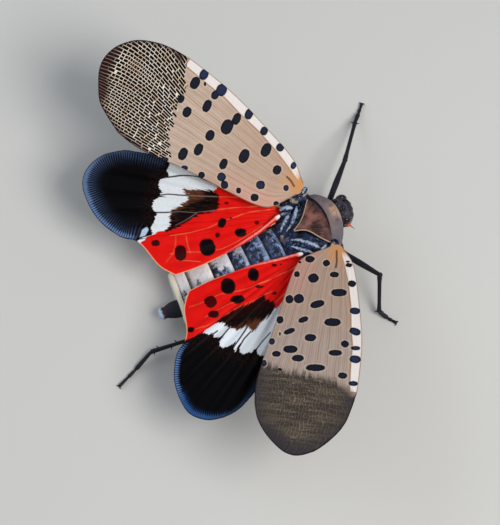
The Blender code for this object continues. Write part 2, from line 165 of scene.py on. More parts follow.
class Paint:
    """A finish: its material, and the nodes that work out what changes over the surface.

    Its skin is the colour so far, and lay puts the next colour over it. Colours are read off a screen.
    """

    def __init__(self, name, **settings):
        self.material = bpy.data.materials.new(name)
        self.material.use_nodes = True
        self.tree = self.material.node_tree
        self.shader = self.tree.nodes["Principled BSDF"]
        self.skin = None
        self.set(**{"Specular_IOR_Level": 0.15, **settings})

    def feed(self, socket, value):
        if isinstance(value, Value):
            self.tree.links.new(value.socket, socket)
        elif isinstance(value, tuple):
            socket.default_value = (*colour(*value), 1.0)
        else:
            socket.default_value = value

    def set(self, **sockets):
        """Feeds the shader's own sockets, named with _ for a space."""
        for name, value in sockets.items():
            self.feed(self.shader.inputs[name.replace("_", " ")], value)

    def node(self, kind, settings, inputs, output=0):
        made = self.tree.nodes.new("ShaderNode" + kind)
        for name, value in settings.items():
            setattr(made, name, value)
        for name, value in inputs.items():
            self.feed(made.inputs[name], value)
        return Value(self, made.outputs[output])

    def maths(self, operation, *values):
        return self.node("Math", {"operation": operation}, dict(enumerate(values)))

    def step(self, value, low, high):
        """0 below low, 1 above high and a smooth rise between, or a fall where low is over high."""
        flip = low > high
        ends = {1: min(low, high), 2: max(low, high), 3: float(flip), 4: float(not flip)}
        return self.node("MapRange", {"interpolation_type": "SMOOTHSTEP"}, {0: value, **ends})

    def read(self, name):
        return self.node("Attribute", {"attribute_name": name}, {}, "Fac")

    def place(self):
        """The point on the piece, in millimetres."""
        spot = self.node("TexCoord", {}, {}, "Object")
        return self.node("VectorMath", {"operation": "SCALE"}, {0: spot, "Scale": 1 / MM})

    def point(self, x, y):
        return self.node("CombineXYZ", {}, {0: x, 1: y})

    def noise(self, vector, scale, detail=3.0):
        """Cloudy noise, about 0.5 in the mean."""
        return self.node("TexNoise", {}, {"Vector": vector, "Scale": scale, "Detail": detail})

    def draw(self, number, seed):
        """A random share that is the same for the same whole number."""
        return self.node("TexWhiteNoise", {"noise_dimensions": "1D"}, {"W": number + seed})

    def part(self, value):
        return self.maths("FRACT", value)

    def whole(self, value):
        return self.maths("FLOOR", value)

    def from_line(self, value):
        """How far a number is from the nearest whole one, at most a half."""
        return 0.5 - abs(self.part(value) - 0.5)

    def mix(self, share, below, above):
        """One colour laid over another."""
        return self.node("Mix", {"data_type": "RGBA"}, {0: share, 6: below, 7: above}, 2)

    def lay(self, share, tone):
        """Lays a colour over the skin."""
        self.skin = self.mix(share, self.skin, tone)

    def finish(self, grain, roughness, spread, relief, depth):
        """The skin, a roughness that the grain spreads, and relief of this depth in millimetres."""
        self.set(Base_Color=self.skin, Roughness=roughness + grain * spread)
        self.bump(relief, depth)
        return self

    def bump(self, height, depth):
        self.set(Normal=self.node("Bump", {}, {"Height": height, "Distance": depth * MM}))


# Meshes

SMOOTH_ANGLE = 60


def start_piece(name):
    """The primitive that was just added, renamed."""
    piece = bpy.context.object
    piece.name = piece.data.name = name
    return piece


def read_points(piece):
    flat = np.empty(len(piece.data.vertices) * 3)
    piece.data.vertices.foreach_get("co", flat)
    return flat.reshape(-1, 3)


def write_points(piece, points):
    piece.data.vertices.foreach_set("co", np.asarray(points, float).ravel())
    piece.data.update()


def write_values(piece, name, values):
    """Stores a number on each point, for the shader."""
    layer = piece.data.attributes.new(name, "FLOAT", "POINT")
    layer.data.foreach_set("value", np.asarray(values, float))


def read_values(piece, name):
    values = np.empty(len(piece.data.vertices))
    piece.data.attributes[name].data.foreach_get("value", values)
    return values


def apply_modifier(piece, kind, **settings):
    bpy.context.view_layer.objects.active = piece
    modifier = piece.modifiers.new("step", kind)
    for name, value in settings.items():
        setattr(modifier, name, value)
    bpy.ops.object.modifier_apply(modifier=modifier.name)


def edit(piece, *steps):
    """Runs operators on all of a piece in edit mode."""
    bpy.ops.object.select_all(action="DESELECT")
    bpy.context.view_layer.objects.active = piece
    piece.select_set(True)
    bpy.ops.object.mode_set(mode="EDIT")
    bpy.ops.mesh.select_all(action="SELECT")
    for step, settings in steps:
        step(**settings)
    bpy.ops.object.mode_set(mode="OBJECT")


def face_outwards(piece):
    edit(piece, (bpy.ops.mesh.normals_make_consistent, {"inside": False}))


def join(pieces, name):
    """One piece of several, which keep their own finishes."""
    bpy.ops.object.select_all(action="DESELECT")
    for piece in pieces:
        piece.select_set(True)
    bpy.context.view_layer.objects.active = pieces[0]
    bpy.ops.object.join()
    return start_piece(name)


def settle(piece, nodes, paint, angle=SMOOTH_ANGLE):
    """Puts a finished piece in the frame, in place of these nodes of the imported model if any."""
    if paint:
        piece.data.materials.clear()
        piece.data.materials.append(paint.material)
    bpy.ops.object.select_all(action="DESELECT")
    piece.select_set(True)
    bpy.context.view_layer.objects.active = piece
    bpy.ops.object.transform_apply(location=True, rotation=True, scale=True)
    piece.data.transform(TO_FRAME)
    bpy.ops.object.shade_smooth_by_angle(angle=math.radians(angle))
    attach(piece, "root")
    if nodes:
        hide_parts(*nodes)


# Outlines and distances

# Farther than anything on a wing, and how square an oval is.
FAR, OVAL_POWER = 30.0, 2.3


def shares(count):
    """Even steps from 0 to 1."""
    return np.linspace(0, 1, count)


def bell(value, centre, width):
    """A smooth hump, 1 at its centre."""
    return np.exp(-(((value - centre) / width) ** 2))


def smooth_curve(points, places):
    """The points that lie at these shares of the length of a smooth curve through the given ones."""
    knots = np.array(points, float)
    knots = np.vstack([2 * knots[0] - knots[1], knots, 2 * knots[-1] - knots[-2]])
    steps = np.linspace(0, 1, 17)[1:, None]
    run = [knots[1:2]]
    for a, b, c, d in zip(knots, knots[1:], knots[2:], knots[3:]):
        cubic = 2 * b + (c - a) * steps + (2 * a - 5 * b + 4 * c - d) * steps**2
        run.append((cubic + (3 * b - a - 3 * c + d) * steps**3) / 2)
    run = np.vstack(run)
    length = np.concatenate([[0], np.cumsum(np.linalg.norm(np.diff(run, axis=0), axis=1))])
    return np.stack([np.interp(places * length[-1], length, column) for column in run.T], axis=1)


def patch(edges, along, across):
    """The points of a sheet that fills four edges: along runs to the margin, across to the front."""
    base, margin = (smooth_curve(edges[name], across) for name in ("base", "margin"))
    rear, front = (smooth_curve(edges[name], along) for name in ("trailing", "leading"))
    base_ends, margin_ends = (smooth_curve(edges[name], shares(2)) for name in ("base", "margin"))
    s, t = across[:, None], along[:, None]
    mean = (1 - t) * ((1 - s) * base_ends[0] + s * base_ends[1])
    mean = mean + t * ((1 - s) * margin_ends[0] + s * margin_ends[1])
    return (1 - t) * base + t * margin + (1 - s) * rear + s * front - mean


def line_distance(points, line):
    """How far each point is from a bent line, and how far along the line its nearest place lies."""
    line = np.array(line, float)
    best, run, done = np.full(len(points), np.inf), np.zeros(len(points)), 0.0
    for start, end in zip(line, line[1:]):
        way = end - start
        length = np.linalg.norm(way)
        share = np.clip((points - start) @ way / length**2, 0, 1)
        far = np.linalg.norm(points - start - share[:, None] * way, axis=1)
        run = np.where(far < best, done + share * length, run)
        best = np.minimum(best, far)
        done += length
    return best, run


def line_marks(points, lines, width):
    """1 on these lines, fading to 0 beside them."""
    return np.max([bell(line_distance(points, line)[0], 0, width) for line in lines], axis=0)


def region_depth(points, outline):
    """How far inside a closed outline each point lies, negative outside."""
    outline = np.array([*outline, outline[0]], float)
    inside = np.zeros(len(points), bool)
    for (u0, v0), (u1, v1) in zip(outline, outline[1:]):
        if v0 != v1:
            beside = (v0 > points[:, 1]) != (v1 > points[:, 1])
            inside ^= beside & (points[:, 0] < u0 + (points[:, 1] - v0) * (u1 - u0) / (v1 - v0))
    far = line_distance(points, outline)[0]
    return np.where(inside, far, -far)


def oval_depth(points, ovals):
    """How far inside the nearest oval each point lies, and that oval's own tint.

    An oval is its centre, its half length and half width, the angle of its length, and its tint if any.
    """
    depth, tint = np.full(len(points), -FAR), np.zeros(len(points))
    for u, v, half_length, half_width, angle, *rest in ovals:
        turn = math.radians(angle)
        x, y = points[:, 0] - u, points[:, 1] - v
        a = np.abs(x * math.cos(turn) + y * math.sin(turn)) / half_length
        b = np.abs(y * math.cos(turn) - x * math.sin(turn)) / half_width
        inside = (1 - (a**OVAL_POWER + b**OVAL_POWER) ** (1 / OVAL_POWER)) * half_width
        tint = np.where(inside > depth, rest[0] if rest else 0.0, tint)
        depth = np.maximum(depth, inside)
    return depth, tint


# Wings: each lies in its own plane, u from the hinge towards the tip and v towards the leading edge.

# The forewings share their edges up to the last third, where the right one is a little narrower.
FORE_BASE = [(0.35, -0.15), (0.1, 0.15), (0.08, 0.75), (0.35, 1.15)]
FORE_LEADING = [(0.35, 1.15), (0.85, 1.55), (1.65, 2.2), (2.75, 2.76), (5.0, 3.5), (10.0, 4.85)]
FORE_TRAILING = [
    (0.35, -0.15), (0.75, -0.85), (1.3, -1.75), (2.0, -2.55), (3.2, -2.95), (5.0, -3.15), (10.5, -3.55),
]
FORE_TIPS = {
    "left": {
        "leading": [(14.5, 5.5), (16.0, 5.56), (17.3, 5.52)],
        "margin": [
            (17.5, -3.85), (19.15, -3.07), (20.4, -2.3), (21.3, -1.1), (22.0, 0.2), (22.2, 1.4),
            (21.9, 2.7), (21.2, 3.75), (20.4, 4.5), (19.4, 5.0), (18.3, 5.36), (17.3, 5.52),
        ],
        "trailing": [(14.2, -4.05), (16.0, -4.06), (17.5, -3.85)],
    },
    "right": {
        "leading": [(14.5, 5.38), (16.0, 5.35), (17.3, 5.22)],
        "margin": [
            (17.5, -3.5), (19.0, -2.9), (20.3, -1.95), (21.4, -0.75), (22.1, 0.35), (22.25, 1.5),
            (21.7, 2.75), (21.0, 3.5), (20.2, 4.12), (19.3, 4.66), (18.3, 5.04), (17.3, 5.22),
        ],
        "trailing": [(14.2, -3.82), (16.0, -3.78), (17.5, -3.5)],
    },
}
HIND_EDGES = {
    "base": [(-0.1, -0.75), (0.0, 0.3)],
    "leading": [(0.0, 0.3), (5.0, 0.1), (9.0, -0.2), (12.5, -0.8), (14.8, -1.45)],
    "margin": [
        (6.2, -10.1), (8.0, -10.05), (10.7, -9.05), (12.7, -9.4), (15.4, -8.85), (17.8, -7.1),
        (18.4, -5.3), (17.8, -3.5), (16.4, -2.15), (14.8, -1.45),
    ],
    "trailing": [(-0.1, -0.75), (0.75, -1.75), (2.4, -4.9), (4.5, -8.1), (6.2, -10.1)],
}
FORE_VEINS = (0.09, 0.22, 0.36, 0.50, 0.63, 0.75, 0.86)
HIND_VEINS = (0.10, 0.24, 0.38, 0.50, 0.61, 0.71, 0.81, 0.91)
FORE_CELLS, HIND_CELLS = (240, 104), (260, 168)
FORE_CAMBER, HIND_PLEAT, PLEAT_FADE, HALF_BREADTH = 0.2, 0.16, 0.85, 5.0
# Hinge, then sweep back from straight out, rise towards the tip and leading edge up, in degrees.
WINGS = {
    "forewing_left": ((2.86, -0.15, 7.1), 33.8, 12.0, 14.0),
    "forewing_right": ((-2.8, -0.54, 7.1), 39.96, 12.0, 14.0),
    "hindwing_left": ((2.29, 1.6, 5.6), 34.8, 6.0, 8.0),
    "hindwing_right": ((-2.25, 1.34, 5.6), 42.3, 6.0, 8.0),
}
MEMBRANE = 0.12
VEIN_HEIGHT, VEIN_WIDTH = 0.06, 0.009
SLIT_WIDTH, DARK_VEIN_WIDTH, PALE_VEIN_WIDTH = 0.10, 0.080, 0.068

# Dark spots of the forewings: centre, half length, half width, angle, and how blue they are.
FORE_SPOTS = {
    "left": [
        (13.48, 4.96, 0.56, 0.42, 84, 0.8), (12.94, 4.25, 0.23, 0.14, 59), (13.78, 3.84, 0.64, 0.45, 84),
        (11.34, 4.57, 0.61, 0.51, 84, 0.7), (11.61, 3.86, 0.45, 0.37, 84, 0.2),
        (11.71, 2.59, 0.64, 0.4, 84), (13.01, 1.13, 0.53, 0.42, 84), (14.12, 1.88, 0.42, 0.33, 84),
        (9.11, 1.89, 0.75, 0.56, 84), (8.74, 2.99, 0.61, 0.4, 84), (7.99, 4.0, 0.56, 0.4, 84, 0.4),
        (5.97, 3.37, 0.44, 0.37, 84, 0.3), (3.9, 2.83, 0.39, 0.39, 0, 0.3), (4.89, 1.95, 0.7, 0.47, 84),
        (10.05, 0.38, 0.54, 0.43, 84), (10.28, -1.3, 0.62, 0.41, 84), (11.3, -2.41, 0.64, 0.43, 84),
        (6.35, 0.4, 0.71, 0.47, 84), (7.6, -1.24, 0.55, 0.37, 84), (3.05, 0.89, 0.47, 0.41, 84),
        (1.95, 2.05, 0.37, 0.28, 84, 1.0), (10.5, -3.45, 0.35, 0.26, -32, 0.4),
        (8.81, -3.18, 0.33, 0.32, -33), (7.13, -2.37, 0.42, 0.42, 0, 0.5),
        (6.5, -2.86, 0.39, 0.37, 61, 0.2), (5.12, -2.62, 0.3, 0.26, 59), (3.51, -2.4, 0.4, 0.37, -33),
        (1.51, -1.83, 0.28, 0.23, -32), (3.64, -1.11, 0.43, 0.42, -37, 0.5),
        (1.46, -0.11, 0.31, 0.27, 60, 0.6), (12.5, -3.74, 0.42, 0.23, -32, 0.8),
    ],
    "right": [
        (1.89, -1.7, 0.48, 0.38, 82), (2.31, -2.57, 0.17, 0.15, 70), (2.18, -0.07, 0.39, 0.34, 34),
        (3.36, 0.93, 0.45, 0.33, 88), (1.83, 1.9, 0.22, 0.13, -88), (2.2, 2.07, 0.34, 0.24, 89),
        (4.18, 2.75, 0.4, 0.36, 64), (3.64, -2.57, 0.36, 0.28, 22), (3.93, -0.94, 0.55, 0.49, 46),
        (5.26, 1.75, 0.77, 0.43, -87), (6.41, -2.68, 0.49, 0.38, 24), (6.27, -1.81, 0.54, 0.47, 36),
        (6.69, 0.02, 0.68, 0.42, -67), (7.04, 3.6, 0.51, 0.37, 89, 0.6), (8.68, -3.08, 0.44, 0.34, 23),
        (8.46, -0.92, 0.5, 0.33, -60), (8.46, 1.8, 0.78, 0.45, -87), (9.81, -1.94, 0.57, 0.31, -60),
        (10.16, -2.76, 0.22, 0.11, 15), (9.19, 4.03, 0.57, 0.38, 71, 0.6), (10.29, 0.13, 0.57, 0.4, 90),
        (10.59, 3.39, 0.4, 0.36, 54), (11.02, -3.32, 0.38, 0.29, 22, 0.6),
        (10.9, 4.42, 0.45, 0.24, -86, 1.0), (11.68, -1.44, 0.69, 0.42, -88),
        (12.28, -2.62, 0.43, 0.33, 85), (11.61, 2.72, 0.64, 0.33, -86), (12.54, -0.55, 0.58, 0.37, -88),
        (12.04, 4.61, 0.53, 0.41, 87, 0.8), (13.35, 1.24, 0.91, 0.38, -85),
        (13.85, 3.83, 0.43, 0.34, 87, 0.2), (14.51, 4.92, 0.45, 0.26, -86, 0.8),
        (13.85, -1.94, 0.23, 0.16, -89), (13.33, -3.55, 0.37, 0.27, 20, 0.8),
    ],
}
# Where the net of cells starts, from the leading edge to the trailing one.
NET_START = {
    "left": [
        (15.5, 5.3), (14.8, 4.1), (14.2, 2.8), (14.0, 2.2), (14.0, 0.8), (13.8, 0.0), (13.6, -0.7),
        (13.4, -1.4), (12.9, -2.4), (12.1, -3.6),
    ],
    "right": [
        (15.5, 5.2), (14.8, 4.5), (14.3, 3.2), (14.1, 1.8), (14.0, 0.4), (13.9, -1.0), (13.6, -2.5),
        (13.2, -3.7),
    ],
}
COSTAL_VEIN = [
    (0.8, 1.0), (2.0, 1.55), (4.2, 2.4), (6.5, 3.1), (8.9, 3.6), (10.7, 4.1), (12.5, 4.3), (14.8, 4.65),
]
COSTAL_END = 15.4
# A dark crease at the root of the forewing.
SLIT = {
    "left": [(1.92, 0.82), (1.4, 0.69), (0.92, 0.44)],
    "right": [(0.75, 0.6), (1.93, 0.87), (2.59, 0.92)],
}
# The rays of the net fan out from this place near the wing's root, and bend towards the tip.
FAN_CENTRE, RAYS_PER_RADIAN = (-2.0, -3.5), 70.0
BEND_START, RAY_BEND = 16.0, 0.00145

# Dark spots of the hindwings, the last number here saying how red they are.
HIND_SPOTS = {
    "left": [
        (4.82, -3.65, 0.52, 0.37, 80), (4.31, -2.83, 0.15, 0.11, -29, 0.6),
        (4.63, -4.86, 0.29, 0.23, 61, 0.5), (2.87, -3.61, 0.56, 0.43, -29),
        (1.96, -2.06, 0.23, 0.19, -30, 0.7), (5.37, -1.78, 0.23, 0.14, -29, 0.8),
        (4.88, -6.35, 0.85, 0.75, 44), (6.82, -8.03, 0.76, 0.56, 61, 0.2),
        (9.32, -8.33, 0.42, 0.31, -29, 0.2),
    ],
    "right": [
        (3.31, -4.65, 0.68, 0.54, 21), (4.97, -6.66, 0.84, 0.7, 23), (6.87, -7.82, 0.61, 0.57, 50, 0.3),
        (6.09, -5.43, 0.7, 0.44, -80), (8.05, -7.2, 0.51, 0.41, -84, 0.2),
        (1.94, -2.99, 0.28, 0.19, -80, 0.3), (1.76, -2.41, 0.11, 0.09, -85, 0.7),
        (4.39, -3.73, 0.42, 0.17, -78, 0.3), (4.76, -2.23, 0.23, 0.19, -83, 0.8),
        (10.03, -8.81, 0.37, 0.31, -85),
    ],
}
# Where the black end and the white lobes start, from the leading edge to the trailing one.
BLACK_START = {
    "left": [
        (12.2, -0.4), (11.8, -1.2), (11.75, -1.8), (11.25, -2.2), (11.62, -2.45), (11.9, -2.88),
        (11.8, -3.3), (11.55, -3.6), (11.0, -3.75), (11.3, -3.95), (11.2, -4.1), (10.7, -4.12),
        (11.2, -4.4), (11.42, -4.9), (11.35, -5.35), (11.05, -5.72), (10.5, -5.86), (10.52, -6.1),
        (10.42, -6.74), (10.38, -7.35), (10.0, -7.66), (10.2, -8.1), (10.8, -8.8), (10.9, -9.6),
    ],
    "right": [
        (10.9, -0.3), (10.9, -1.1), (11.24, -1.87), (11.0, -2.22), (10.4, -2.42), (10.95, -2.72),
        (11.43, -3.36), (11.26, -3.74), (10.9, -3.9), (10.35, -3.98), (10.85, -4.14), (11.21, -4.26),
        (11.15, -4.41), (10.85, -4.48), (10.35, -4.42), (10.91, -4.85), (11.16, -5.34), (11.04, -5.77),
        (10.7, -5.9), (9.95, -5.72), (10.3, -6.12), (10.26, -6.58), (9.9, -6.7), (10.15, -6.94),
        (10.13, -7.67), (10.32, -7.98), (10.74, -8.46), (11.11, -8.95), (11.5, -9.44),
    ],
}
RED_END = {
    "left": [
        (6.3, 0.6), (6.37, -0.26), (6.84, -0.78), (6.96, -1.36), (6.77, -1.71), (6.35, -2.57),
        (6.59, -3.05), (7.35, -3.73), (7.81, -4.48), (8.28, -5.44), (8.76, -6.16), (9.13, -6.85),
        (9.63, -7.3), (10.08, -7.85), (10.45, -8.76), (10.6, -9.8),
    ],
    "right": [
        (5.0, 0.6), (5.23, -1.22), (6.3, -1.65), (6.27, -2.08), (6.48, -2.44), (6.85, -3.54),
        (7.53, -4.55), (8.27, -5.55), (8.69, -6.27), (9.09, -6.76), (9.62, -7.39), (10.2, -7.62),
        (10.7, -7.99), (11.39, -8.75), (11.84, -9.34),
    ],
}
BROWN_PATCH = {
    "left": [
        (9.42, -2.6), (8.95, -2.66), (8.75, -2.32), (8.01, -1.86), (7.21, -1.47), (6.65, -1.45),
        (6.32, -1.72), (5.88, -2.5), (5.97, -2.81), (6.43, -3.35), (7.03, -3.85), (7.51, -4.56),
        (7.87, -5.28), (8.28, -5.89), (8.72, -6.45), (8.97, -6.8), (8.85, -6.33), (9.08, -5.82),
        (9.52, -4.91), (8.96, -4.22), (8.56, -3.35), (8.63, -3.0), (8.88, -2.88),
    ],
    "right": [
        (8.63, -6.59), (8.32, -6.38), (7.72, -5.7), (7.02, -4.93), (6.33, -4.16), (5.81, -3.58),
        (5.32, -3.17), (5.6, -2.92), (5.7, -2.17), (6.04, -1.9), (6.45, -1.97), (6.87, -2.1),
        (7.31, -2.34), (7.78, -2.69), (8.23, -2.93), (8.64, -3.05), (8.89, -3.28), (8.63, -3.59),
        (8.42, -3.83), (8.77, -4.21), (9.01, -4.74), (8.99, -5.23), (8.82, -5.64), (8.67, -6.16),
    ],
}
# A pale fold shows on the left hindwing only.
PALE_FOLD = [(10.9, -8.66), (10.5, -8.22), (10.46, -7.54), (10.76, -7.38), (11.03, -7.86)]
DARK_VEINS = {
    "left": [
        [(12.02, -2.62), (11.37, -2.26), (10.43, -1.63), (9.04, -0.86), (7.69, -0.77)],
        [(11.55, -4.44), (10.58, -3.68), (9.55, -3.22), (7.86, -2.4), (6.43, -1.71)],
        [(10.92, -5.95), (9.94, -5.4), (8.76, -4.64), (7.49, -4.04), (6.0, -2.9)],
        [(8.48, -6.0), (7.32, -4.01)],
    ],
    "right": [
        [(10.3, -6.95), (9.57, -6.39)],
        [(10.6, -5.95), (9.73, -5.62), (9.08, -5.33)],
        [(11.0, -4.5), (9.71, -4.07), (8.6, -3.72)],
        [(10.87, -4.02), (9.87, -3.78), (8.99, -3.36)],
        [(10.9, -2.5), (9.8, -2.08), (8.77, -1.53)],
    ],
}
PALE_VEINS = {
    "left": [
        [
            (1.12, -0.07), (3.03, -1.46), (3.83, -2.34), (4.63, -3.22), (5.93, -4.92), (6.97, -5.94),
            (8.46, -7.09),
        ],
        [
            (1.41, -2.09), (2.18, -3.6), (2.84, -4.73), (3.62, -5.82), (4.87, -6.84), (6.1, -7.51),
            (7.63, -8.58),
        ],
        [(1.17, 0.01), (2.93, -0.09), (4.54, -0.66), (6.34, -1.66)],
        [(1.2, 0.1), (2.6, -0.6), (4.6, -1.9), (5.9, -2.8)],
        [(7.16, -6.37), (6.54, -7.11), (6.05, -7.6)],
        [(6.79, -8.76), (5.68, -8.26), (4.82, -7.89)],
        [(8.0, -6.8), (7.6, -7.6), (7.4, -8.5), (7.6, -9.4)],
    ],
    "right": [
        [
            (1.2, -0.7), (1.93, -1.21), (2.79, -2.23), (3.79, -3.41), (4.69, -4.61), (5.4, -6.0),
            (6.0, -7.2),
        ],
        [(3.6, -0.5), (4.64, -1.26), (5.18, -1.59), (5.95, -2.11)],
        [
            (4.6, -2.5), (5.3, -3.3), (6.14, -4.21), (6.81, -4.99), (8.22, -6.4), (9.29, -7.49),
            (9.95, -8.44),
        ],
        [(6.06, -5.08), (6.72, -5.98), (7.59, -6.94), (8.5, -7.9)],
        [(6.0, -7.2), (7.2, -8.6), (7.8, -9.6)],
    ],
}


def wing_axes(side, sweep, rise, pitch):
    """The directions hinge to tip, towards the leading edge, and up out of the wing."""
    sweep, rise, pitch = (math.radians(angle) for angle in (sweep, rise, pitch))
    out = np.array([math.cos(sweep) * math.cos(rise), math.sin(sweep) * math.cos(rise), math.sin(rise)])
    flat = np.array([math.sin(sweep), -math.cos(sweep), 0.0])
    lift = np.array([-math.cos(sweep) * math.sin(rise), -math.sin(sweep) * math.sin(rise), math.cos(rise)])
    fore = flat * math.cos(pitch) + lift * math.sin(pitch)
    mirror = np.array([side, 1, 1])
    out, fore = out * mirror, fore * mirror
    return out, fore, np.cross(fore, out) * side


def outline_of(edges):
    """The wing's closed outline and, on its own, its outer margin."""
    names = ("trailing", "margin", "leading")
    trailing, margin, leading = (smooth_curve(edges[name], shares(90)) for name in names)
    return np.vstack([trailing, margin[1:], leading[-2::-1]]), margin


def wing_sheet(name, edges, veins, camber, pleat, cells):
    """A thin membrane with its veins marked, and each of its points in the plane of the wing."""
    hinge, sweep, rise, pitch = WINGS[name]
    out, fore, up = wing_axes(1 if hinge[0] > 0 else -1, sweep, rise, pitch)
    bpy.ops.mesh.primitive_grid_add(x_subdivisions=cells[0], y_subdivisions=cells[1], size=1)
    piece = start_piece(name)
    along, across = np.clip(read_points(piece)[:, :2] + 0.5, 0, 1).T
    flat = patch(edges, along, across)
    waves = np.sin(2 * math.pi * across * (len(veins) + 1))
    fold = pleat * waves * along * (1 - PLEAT_FADE * along**4)
    height = -camber * (flat[:, 1] / HALF_BREADTH) ** 2 * along + fold
    write_points(piece, hinge + flat[:, :1] * out + flat[:, 1:] * fore + height[:, None] * up)
    ridge = sum(bell(across, vein, VEIN_WIDTH) for vein in veins)
    for label, values in (("u", flat[:, 0]), ("v", flat[:, 1]), ("along", along), ("across", across)):
        write_values(piece, label, values)
    write_values(piece, "ridge", ridge * np.clip(along / 0.15, 0, 1) * (1 - 0.6 * along))
    return piece, flat


def thicken_wing(piece, name):
    """Gives the sheet its two faces and raises the veins on both."""
    hinge, sweep, rise, pitch = WINGS[name]
    up = wing_axes(1 if hinge[0] > 0 else -1, sweep, rise, pitch)[2]
    apply_modifier(piece, "SOLIDIFY", thickness=MEMBRANE, offset=0.0)
    normals = np.empty(len(piece.data.vertices) * 3)
    piece.data.vertices.foreach_get("normal", normals)
    facing = np.clip(normals.reshape(-1, 3) @ up * 2, -1, 1)
    lift = read_values(piece, "ridge") * VEIN_HEIGHT * facing
    write_points(piece, read_points(piece) + lift[:, None] * up)
    face_outwards(piece)


def finish_wing(piece, name, masks, paint):
    for label, values in masks.items():
        write_values(piece, label, values)
    thicken_wing(piece, name)
    settle(piece, [name], paint)


def fan_of(flat):
    """The number of the ray of the net that passes through each point."""
    u, v = flat.T
    angle = np.arctan2(v - FAN_CENTRE[1], u - FAN_CENTRE[0])
    bend = RAY_BEND * np.maximum(u - BEND_START, 0) ** 2 * np.clip((v + 2.5) / 2.5, 0, 1)
    return (angle + bend) * RAYS_PER_RADIAN


def fore_edges(side):
    ends = FORE_TIPS[side]
    return {
        "base": FORE_BASE,
        "margin": ends["margin"],
        "leading": FORE_LEADING + ends["leading"],
        "trailing": FORE_TRAILING + ends["trailing"],
    }


def beyond(line):
    """The region on the tip's side of a line that runs from the leading edge to the trailing one."""
    return [(line[0][0], FAR), *line, (line[-1][0], -FAR), (2 * FAR, -FAR), (2 * FAR, FAR)]


def forewing(side, paint):
    name, edges = "forewing_" + side, fore_edges(side)
    piece, flat = wing_sheet(name, edges, FORE_VEINS, FORE_CAMBER, 0.0, FORE_CELLS)
    rim, margin = outline_of(edges)
    depth, tint = oval_depth(flat, FORE_SPOTS[side])
    costal = [*COSTAL_VEIN, (COSTAL_END, 4.75), (COSTAL_END, FAR), (COSTAL_VEIN[0][0], FAR)]
    near_tip = np.vstack([[(14.5, -4.05)], margin, [(COSTAL_END, 5.4)]])
    masks = {
        "spots": depth,
        "tint": tint,
        "net": region_depth(flat, beyond(NET_START[side])),
        "costal": region_depth(flat, costal),
        "rim": line_distance(flat, rim)[0],
        "tip": line_distance(flat, near_tip)[0],
        "slit": line_marks(flat, [SLIT[side]], SLIT_WIDTH),
        "ray": fan_of(flat),
    }
    finish_wing(piece, name, masks, paint)


def hindwing(side, paint):
    name = "hindwing_" + side
    piece, flat = wing_sheet(name, HIND_EDGES, HIND_VEINS, 0.0, HIND_PLEAT, HIND_CELLS)
    rim, margin = outline_of(HIND_EDGES)
    depth, tint = oval_depth(flat, HIND_SPOTS[side])
    tip, run = line_distance(flat, np.vstack([margin[12:], [(14.0, -1.2), (12.2, -0.75)]]))
    u, v = flat.T
    masks = {
        "spots": depth,
        "tint": tint,
        "black": region_depth(flat, beyond(BLACK_START[side])),
        "pale": region_depth(flat, beyond(RED_END[side])),
        "brown": region_depth(flat, BROWN_PATCH[side]),
        "fold": region_depth(flat, PALE_FOLD) if side == "left" else np.full(len(flat), -FAR),
        "dark_veins": line_marks(flat, DARK_VEINS[side], DARK_VEIN_WIDTH),
        "pale_veins": line_marks(flat, PALE_VEINS[side], PALE_VEIN_WIDTH),
        "rim": line_distance(flat, rim)[0],
        "tip": tip,
        "run": run,
        "turn": np.arctan2(v, u + 1.0) * 10,
        "reach": np.hypot(u, v),
    }
    finish_wing(piece, name, masks, paint)


# Finishes of the wings. The left forewing's net is crisp, and the right one's is soft, plainer and browner.

FORE_TONES = {
    "left": {
        "name": "forewing crisp",
        "ground": ((190, 166, 150), (212, 190, 172)),
        "flush": (230, 158, 148),
        "waver": 0.4,
        "net_edge": (-0.04, 0.04),
        "band": ((30, 16, 17), (130, 100, 88)),
        "fade": 0.4,
    },
    "right": {
        "name": "forewing soft",
        "ground": ((164, 148, 140), (184, 166, 154)),
        "flush": (208, 138, 132),
        "waver": 2.4,
        "net_edge": (-0.35, 0.55),
        "band": ((54, 50, 56), (68, 63, 67)),
        "fade": 0.8,
    },
}
# The hindwings' finish, white, blue of the rim, blue of its streaks, and how far in the streaks reach.
HIND_TONES = {
    "left": ("hindwing steel rim", (200, 208, 214), (92, 114, 150), (70, 88, 122), 2.3),
    # Painted light: the right white is brighter than the left's, to offset the shade that the right wing's
    # tilt gives it.
    "right": ("hindwing cobalt rim", (212, 220, 231), (42, 80, 132), (36, 72, 124), 1.2),
}
STREAK_SPACING = 0.24


